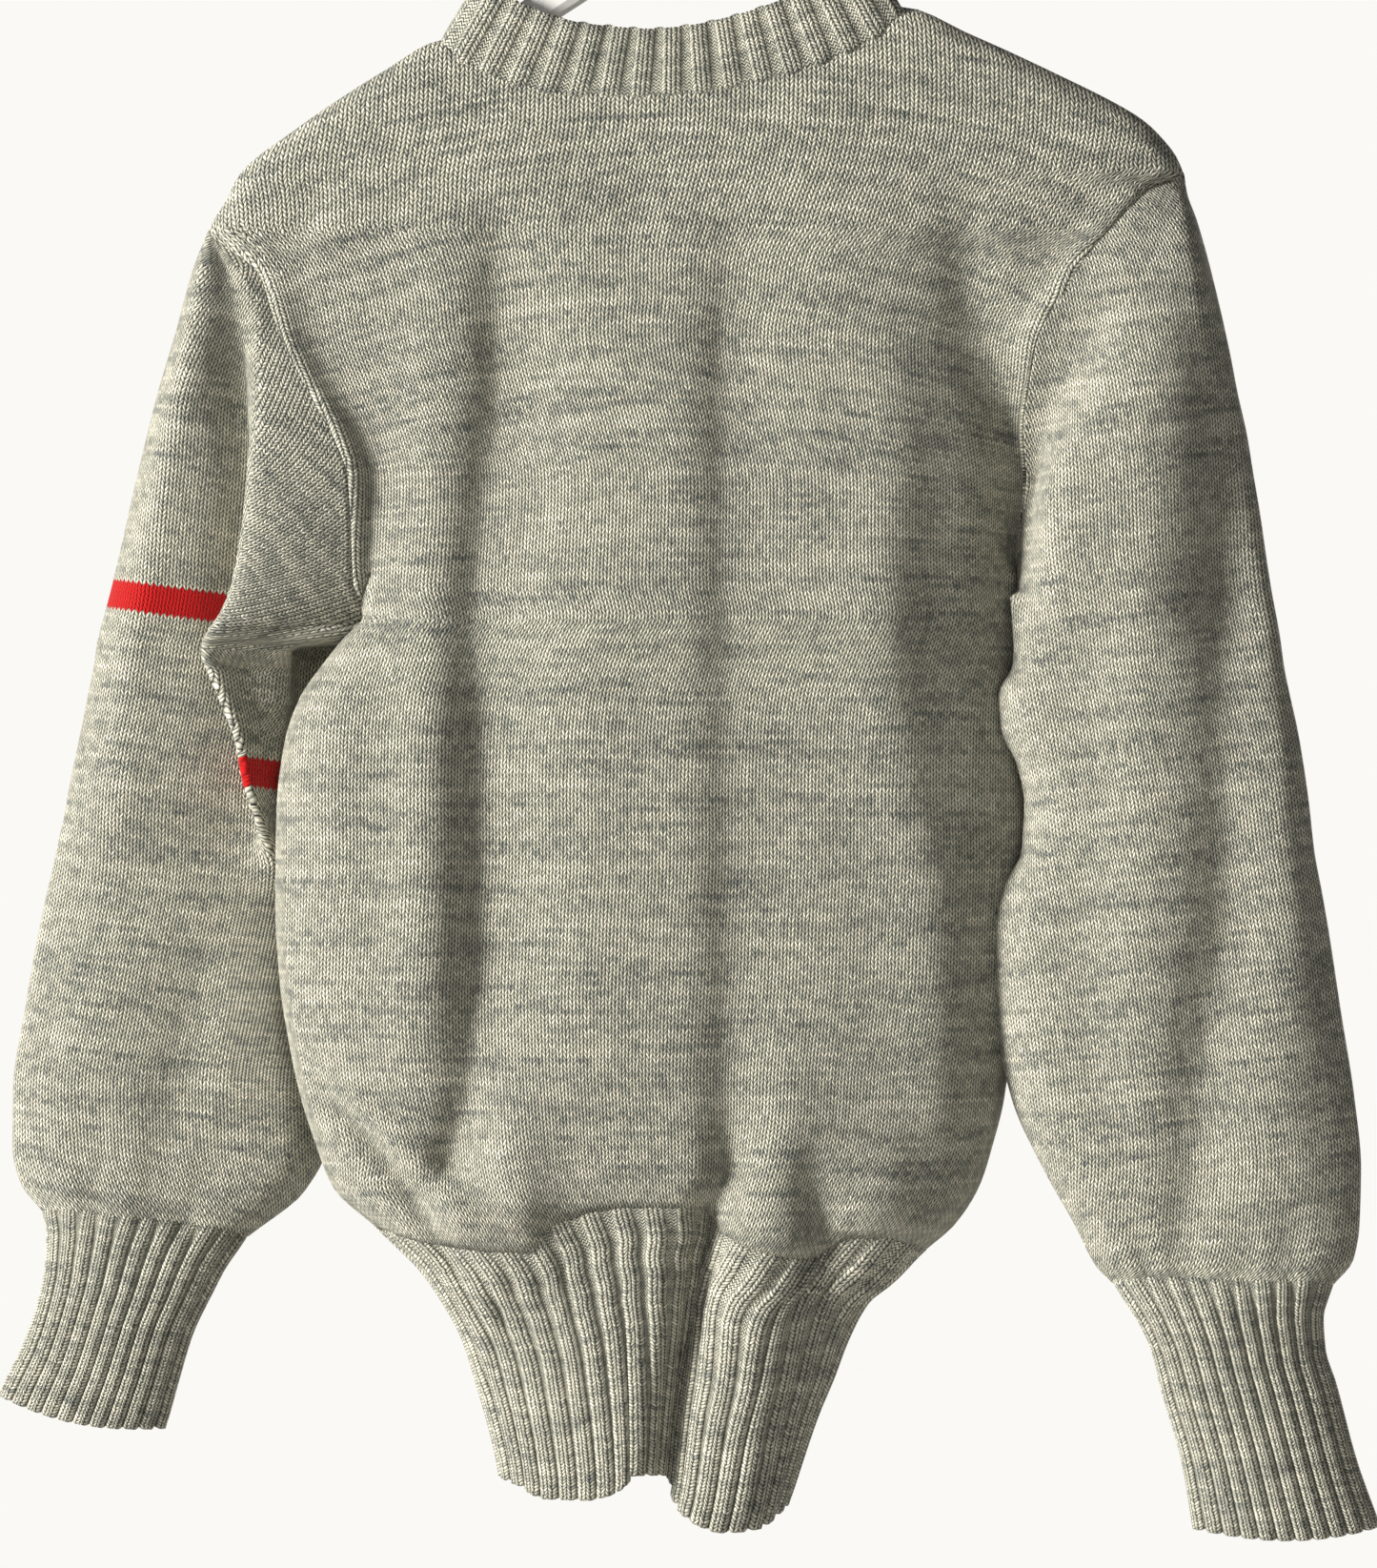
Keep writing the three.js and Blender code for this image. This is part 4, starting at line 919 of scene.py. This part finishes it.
def marl_and_painted_shade_group():
    """The yarn's heather: paler and darker stretches that follow the rows, and flecks in single stitches.
    Over it, painted shade darkens the hollows between the stitches' legs.
    """
    inputs = {
        **{"Wales": 0.0, "Courses": 0.0, "Row": 0.0, "Wale": 0.0, "Height": 1.0},
        "Dark": colour(114, 119, 117),
        "Middle": colour(200, 197, 180),
        "Pale": colour(250, 244, 224),
    }
    g, given, out = new_group("Marl and painted shade", inputs, ["Color"], "NodeSocketColor")
    wales, courses, row = given["Wales"], given["Courses"], given["Row"]
    banks = g.cloud(g.times(wales, 0.035), g.times(courses, 0.22), 4.1, 3.0, 0.6)
    streak = g.cloud(g.times(wales, 0.11), g.times(row, 3.71), 9.3, 1.0)
    fleck = g.scatter(given["Wale"], row, 2.0)
    fibre = g.cloud(g.times(wales, 5.0), g.times(courses, 3.0), 1.7, 2.0, 0.7)
    shade = 0.5
    for part, strength in ((banks, 0.7), (streak, 0.75), (fleck, 0.38), (fibre, 1.1)):
        shade = g.math("MULTIPLY_ADD", g.math("SUBTRACT", part, 0.5), strength, shade)
    paler = g.mix(g.remap(shade, 0.5, 1.0), given["Middle"], given["Pale"])
    tone = g.mix(g.remap(shade, 0.5, 0.0), paler, given["Dark"])
    # Painted shade: the colour darkens towards the stitches' hollows, where their height is low, and
    # brightens slightly on the legs' tops
    stitch_painted_shade = g.remap(given["Height"], 0.2, 0.82, 0.02, 1.06)
    stitch_painted_shade_grey = g.node("ShaderNodeCombineColor", {0: stitch_painted_shade, 1: stitch_painted_shade, 2: stitch_painted_shade}).outputs[0]
    g.feed(out, {"Color": g.mix(1.0, tone, stitch_painted_shade_grey, "MULTIPLY")})
    return g.tree


STITCHES = stitch_group()
MARL_AND_PAINTED_SHADE = marl_and_painted_shade_group()


def new_material(name):
    """A material, the graph of its nodes and the inputs of its surface."""
    material = bpy.data.materials.new(name)
    material.use_nodes = True
    return material, Graph(material.node_tree), material.node_tree.nodes["Principled BSDF"].inputs


def wool(name, ribbed, stripe=None):
    """Heathered wool knit with painted shade in its stitches' hollows, and a band of another colour over the
    rows that stripe names.
    """
    material, g, surface = new_material(name)
    uv = g.node("ShaderNodeUVMap", uv_map="stitches").outputs[0]
    split = g.node("ShaderNodeSeparateXYZ", {0: uv}).outputs
    wales, courses = split[0], split[1]
    inputs = {"Wales": wales, "Courses": courses, "Ribbed": ribbed}
    knit = g.node("ShaderNodeGroup", inputs, node_tree=STITCHES).outputs
    row, height = knit["Row"], knit["Height"]
    inputs = {"Wales": wales, "Courses": courses, "Row": row, "Wale": knit["Wale"], "Height": height}
    shown = g.node("ShaderNodeGroup", inputs, node_tree=MARL_AND_PAINTED_SHADE).outputs["Color"]
    if stripe:
        first, last, red, red_in_painted_shade = stripe
        begun = g.math("GREATER_THAN", row, first - 0.5)
        inside = g.times(begun, g.math("LESS_THAN", row, last + 0.5))
        # Painted shade: in the red stripe the stitches' hollows turn dark red
        shown = g.mix(inside, shown, g.mix(g.remap(height, 0.05, 0.6), red_in_painted_shade, red))
    fuzz = g.cloud(g.times(wales, 6.0), g.times(courses, 4.0), 5.5, 2.0, 0.7)
    relief = g.math("MULTIPLY_ADD", fuzz, 0.25, height)
    bump = g.node("ShaderNodeBump", {"Strength": 0.9, "Distance": 0.0009, "Height": relief}).outputs[0]
    g.feed(surface, {
        "Base Color": shown,
        "Normal": bump,
        "Roughness": 0.92,
        "Specular IOR Level": 0.15,
        "Sheen Weight": 0.12,
        "Sheen Roughness": 0.6,
        "Sheen Tint": (0.95, 0.94, 0.9, 1),
    })
    return material


STRIPE_TOP = 383.6  # down the outer edge of the left sleeve
STRIPE_TALL = 11.6
STRIPE_FIRST = round(STRIPE_TOP / COURSE)
STRIPE_LAST = STRIPE_FIRST + round(STRIPE_TALL / COURSE) - 1

plain_wool = wool("plain knit", 0.0)
ribbed_wool = wool("ribbed knit", 1.0)
# The second red is the stripe's painted shade in its stitches' hollows
striped_wool = wool("striped knit", 0.0, (STRIPE_FIRST, STRIPE_LAST, colour(196, 4, 6), colour(120, 0, 2)))


# The body: both panels, sewn at the shoulders and the sides
back = body_panel(-1)
front = body_panel(1)
GATHER_FROM = 560  # below this the wales draw together towards the rib
ARMHOLE_END = 395
WALES_KEPT = 0.8  # 1 if no wale ended at an armhole, 0 if they all ran straight down
ROW_RISE = 40  # the rows rise this much from the top of an armhole to the middle
RISE_FROM = 230
RISE_OVER = 170
SURVEY_TOP = 125
SURVEY_STEP = 8
SURVEY_ROWS = 72
SURVEY_COLUMNS = 72


def survey(face):
    """How far every point lies round the panel from its middle, on a grid of heights and shares across."""
    lines = []
    for k in range(SURVEY_ROWS + 1):
        down = SURVEY_TOP + SURVEY_STEP * k
        armhole = clamp((down - TIP_LEFT_DOWN) / (ARMHOLE_END - TIP_LEFT_DOWN))
        reach = lengths([torso(face, j / SURVEY_COLUMNS, down, armhole) for j in range(SURVEY_COLUMNS + 1)])
        middle = reach[SURVEY_COLUMNS // 2]
        lines.append([r - middle for r in reach])
    return lines


def between(lines, row, column):
    i = min(max(int(row), 0), len(lines) - 2)
    j = min(max(int(column), 0), len(lines[0]) - 2)
    above = lerp(lines[i][j], lines[i][j + 1], column - j)
    return lerp(above, lerp(lines[i + 1][j], lines[i + 1][j + 1], column - j), row - i)


def body_coordinates(face, rows):
    """The wales run parallel to the armhole seams beside them and straight down in the middle."""
    lines = survey(face)

    def width(down):
        row = (down - SURVEY_TOP) / SURVEY_STEP
        return between(lines, row, SURVEY_COLUMNS) - between(lines, row, 0)

    chest = width(ARMHOLE_END)
    full = width(GATHER_FROM)

    def read(row, column, cell_row, cell_column):
        down = -rows[row][column].z
        across = COLUMNS[column]
        round_it = between(lines, (down - SURVEY_TOP) / SURVEY_STEP, across * SURVEY_COLUMNS)
        scale = 1.0
        if down < ARMHOLE_END:
            scale = (chest / width(down)) ** WALES_KEPT
        if down > GATHER_FROM:
            scale = full / width(down)
        rise = ROW_RISE * (1 - ease((down - RISE_FROM) / RISE_OVER)) * (1 - 2 * across) ** 2
        return round_it * scale / WALE, (down - rise) / COURSE

    return read


panels = [(back, body_coordinates(-1, back), True), (front, body_coordinates(1, front), False)]
body = cloth("body", panels, plain_wool, WALL)


# The sleeves
# On the folded cloth under the left arm the wales leave the seam this steeply
FLAP_TURN = table("down degrees", [(229, 58), (265, 52), (330, 42), (370, 32), (400, 15), (412, 12)])
FLAP_START = 560  # its rows are counted from here, so they stay clear of the stripe's
FLAP_END = 411  # and they end here
COURSE_SLOPE = 0.124  # the rows of the hanging sleeves drop this much towards the body
SLOPE_MIDDLE = 252
STRIP_SLIP = 71  # the folded strip's cloth hangs this much lower
SLIP_UNTIL = 620
SLIP_OVER = 110


def sleeve_coordinates(side, rows):
    outer_column = OUTER_POINT * SECTION_STEPS
    ridge_column = SECTION_STEPS
    reaches = [lengths(row) for row in rows]
    # How far down the seam each row starts, measured across the flap's wales and along them
    seam_down = [(0.0, 0.0)]
    for above, under in zip(rows, rows[1:]):
        turn = math.radians(FLAP_TURN("degrees", -under[0].z))
        step = above[0].z - under[0].z
        across, along = seam_down[-1]
        seam_down.append((across + step * math.cos(turn), along + step * math.sin(turn)))

    def read(row, column, cell_row, cell_column):
        point = rows[row][column]
        down = -point.z
        around = reaches[row][column] - reaches[row][outer_column]
        on_strip = cell_row >= ARMHOLE_ROWS and cell_column >= INNER_COLUMN
        flap = side < 0 and (cell_column < ridge_column or on_strip) and -rows[cell_row][0].z < FLAP_END
        if flap:
            reach = reaches[row]
            if row <= ARMHOLE_ROWS:
                away = 0.0 if on_strip else reach[column]
            elif on_strip:
                away = reach[column] - reach[INNER_COLUMN]
            else:
                away = reach[column] + reach[-1] - reach[INNER_COLUMN]
            turn = math.radians(FLAP_TURN("degrees", down))
            across = seam_down[row][0] - away * math.sin(turn)
            return across / WALE, (FLAP_START + seam_down[row][1] + away * math.cos(turn)) / COURSE
        courses = down + side * COURSE_SLOPE * (point.x - side * SLOPE_MIDDLE)
        if side < 0 and (cell_column < ridge_column * 2 or cell_column > (INNER_POINT - 1) * SECTION_STEPS):
            courses -= STRIP_SLIP * ease((SLIP_UNTIL - down) / SLIP_OVER)
        return around / WALE, courses / COURSE

    return read


left_rows = sleeve_rows(LEFT)
right_rows = sleeve_rows(RIGHT)
left_part = (left_rows, sleeve_coordinates(-1, left_rows), False)
right_part = (right_rows, sleeve_coordinates(1, right_rows), True)
sleeve_left = cloth("sleeve_left_knit", [left_part], striped_wool, WALL)
sleeve_right = cloth("sleeve_right_knit", [right_part], plain_wool, WALL)


# The ribbed bands
def rib_coordinates(rows):
    middle = [row[len(row) // 4] for row in rows]
    reach = lengths(middle)

    def read(row, column, cell_row, cell_column):
        rib, part = divmod(column, RIB_COLUMNS)
        if part == 0 and cell_column < column:
            rib, part = rib - 1, RIB_COLUMNS
        if part <= RAISED_COLUMNS:
            wales = 2 * part / RAISED_COLUMNS
        else:
            wales = 2 + 2 * (part - RAISED_COLUMNS) / (RIB_COLUMNS - RAISED_COLUMNS)
        return 4 * rib + wales, reach[row] / RIB_COURSE

    return read


def rib_piece(name, rows, turned):
    return cloth(name, [(rows, rib_coordinates(rows), turned)], ribbed_wool, RIB_WALL)


hem = rib_piece("hem_rib", hem_rib_rows(), True)
cuff_left = rib_piece("cuff_left_rib", cuff_rows(LEFT, left_rows[-1]), False)
cuff_right = rib_piece("cuff_right_rib", cuff_rows(RIGHT, right_rows[-1]), True)
neck = rib_piece("neck_rib", neckband_rows(back, front), False)


# The hanger and its hook keep their solids
def painted_wood():
    material, g, surface = new_material("white paint")
    spot = g.node("ShaderNodeSeparateXYZ", {0: g.node("ShaderNodeTexCoord").outputs["Object"]}).outputs
    along = g.times(spot[0], 18.0)
    grain = g.cloud(along, g.times(spot[2], 260.0), 2.2, 4.0, 0.6)
    stain = g.cloud(along, g.times(spot[2], 30.0), 7.2, 3.0, 0.5)
    tone = g.mix(g.remap(stain, 0.35, 0.75), colour(242, 240, 236), colour(232, 229, 222))
    bump = g.node("ShaderNodeBump", {"Strength": 0.25, "Distance": 0.0004, "Height": grain}).outputs[0]
    g.feed(surface, {"Base Color": tone, "Roughness": g.remap(grain, 0.2, 0.8, 0.32, 0.5), "Normal": bump})
    return material


def steel():
    material, g, surface = new_material("hook steel")
    spot = g.node("ShaderNodeTexCoord").outputs["Object"]
    wear = g.node("ShaderNodeTexNoise", {"Vector": spot, "Scale": 160.0, "Detail": 4.0}).outputs["Fac"]
    tone = g.mix(wear, colour(206, 207, 210), colour(178, 179, 183))
    g.feed(surface, {"Base Color": tone, "Roughness": g.remap(wear, 0.3, 0.7, 0.16, 0.34), "Metallic": 1})
    return material


for node, material in (("hanger", painted_wood()), ("hook", steel())):
    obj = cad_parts[node]
    obj.data.materials.clear()
    obj.data.materials.append(material)

# Each piece joins the root body and stands in for these parts, which are hidden
for piece, nodes in (
    (body, ("back", "front")),
    (sleeve_left, ("sleeve_left",)),
    (sleeve_right, ("sleeve_right",)),
    (hem, ("hem_rib_back", "hem_rib_front")),
    (cuff_left, ("cuff_left",)),
    (cuff_right, ("cuff_right",)),
    (neck, ("neckband",)),
):
    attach(piece, "root")
    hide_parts(*nodes)

# The floor, the light and the air around
floor_mesh = bpy.data.meshes.new("floor")
bm = bmesh.new()
bmesh.ops.create_grid(bm, x_segments=2, y_segments=2, size=2.6)
bmesh.ops.translate(bm, verts=bm.verts[:], vec=(0, 0, -1.35))
bm.to_mesh(floor_mesh)
bm.free()
floor = place("floor", floor_mesh)
pale, paint, surface = new_material("floor")
paint.feed(surface, {"Base Color": colour(236, 234, 229), "Roughness": 0.8})
floor_mesh.materials.append(pale)

ROOM_LIGHT = 0.14  # what the pale room sends back, as a share of the wall behind the garment
world = bpy.data.worlds.new("room")
world.use_nodes = True
air = Graph(world.node_tree)
seen = air.node("ShaderNodeLightPath").outputs["Is Camera Ray"]
strength = air.remap(seen, 0.0, 1.0, ROOM_LIGHT, 1.0)
air.feed(world.node_tree.nodes["Background"].inputs, {"Color": colour(250, 249, 245), "Strength": strength})
bpy.context.scene.world = world
bpy.context.scene.view_settings.view_transform = "Standard"


def soft_light(name, at, target, size, watts, tint):
    data = bpy.data.lights.new(name, "AREA")
    data.shape = "DISK"
    data.size = size
    data.energy = watts
    data.color = tint
    light = place(name, data)
    light.location = at
    light.rotation_euler = (Vector(target) - Vector(at)).to_track_quat("-Z", "Y").to_euler()


soft_light("window", (-7.9, -4.1, 1.25), (0, 0, -0.45), 2.3, 1600, (1, 0.99, 0.95))
soft_light("fill", (0.5, -3.2, 0.3), (0, 0, -0.5), 1.6, 6, (0.9, 0.95, 1))
soft_light("back wall", (1.2, 3.2, 0.4), (0, 0, -0.45), 1.8, 60, (1, 0.99, 0.97))
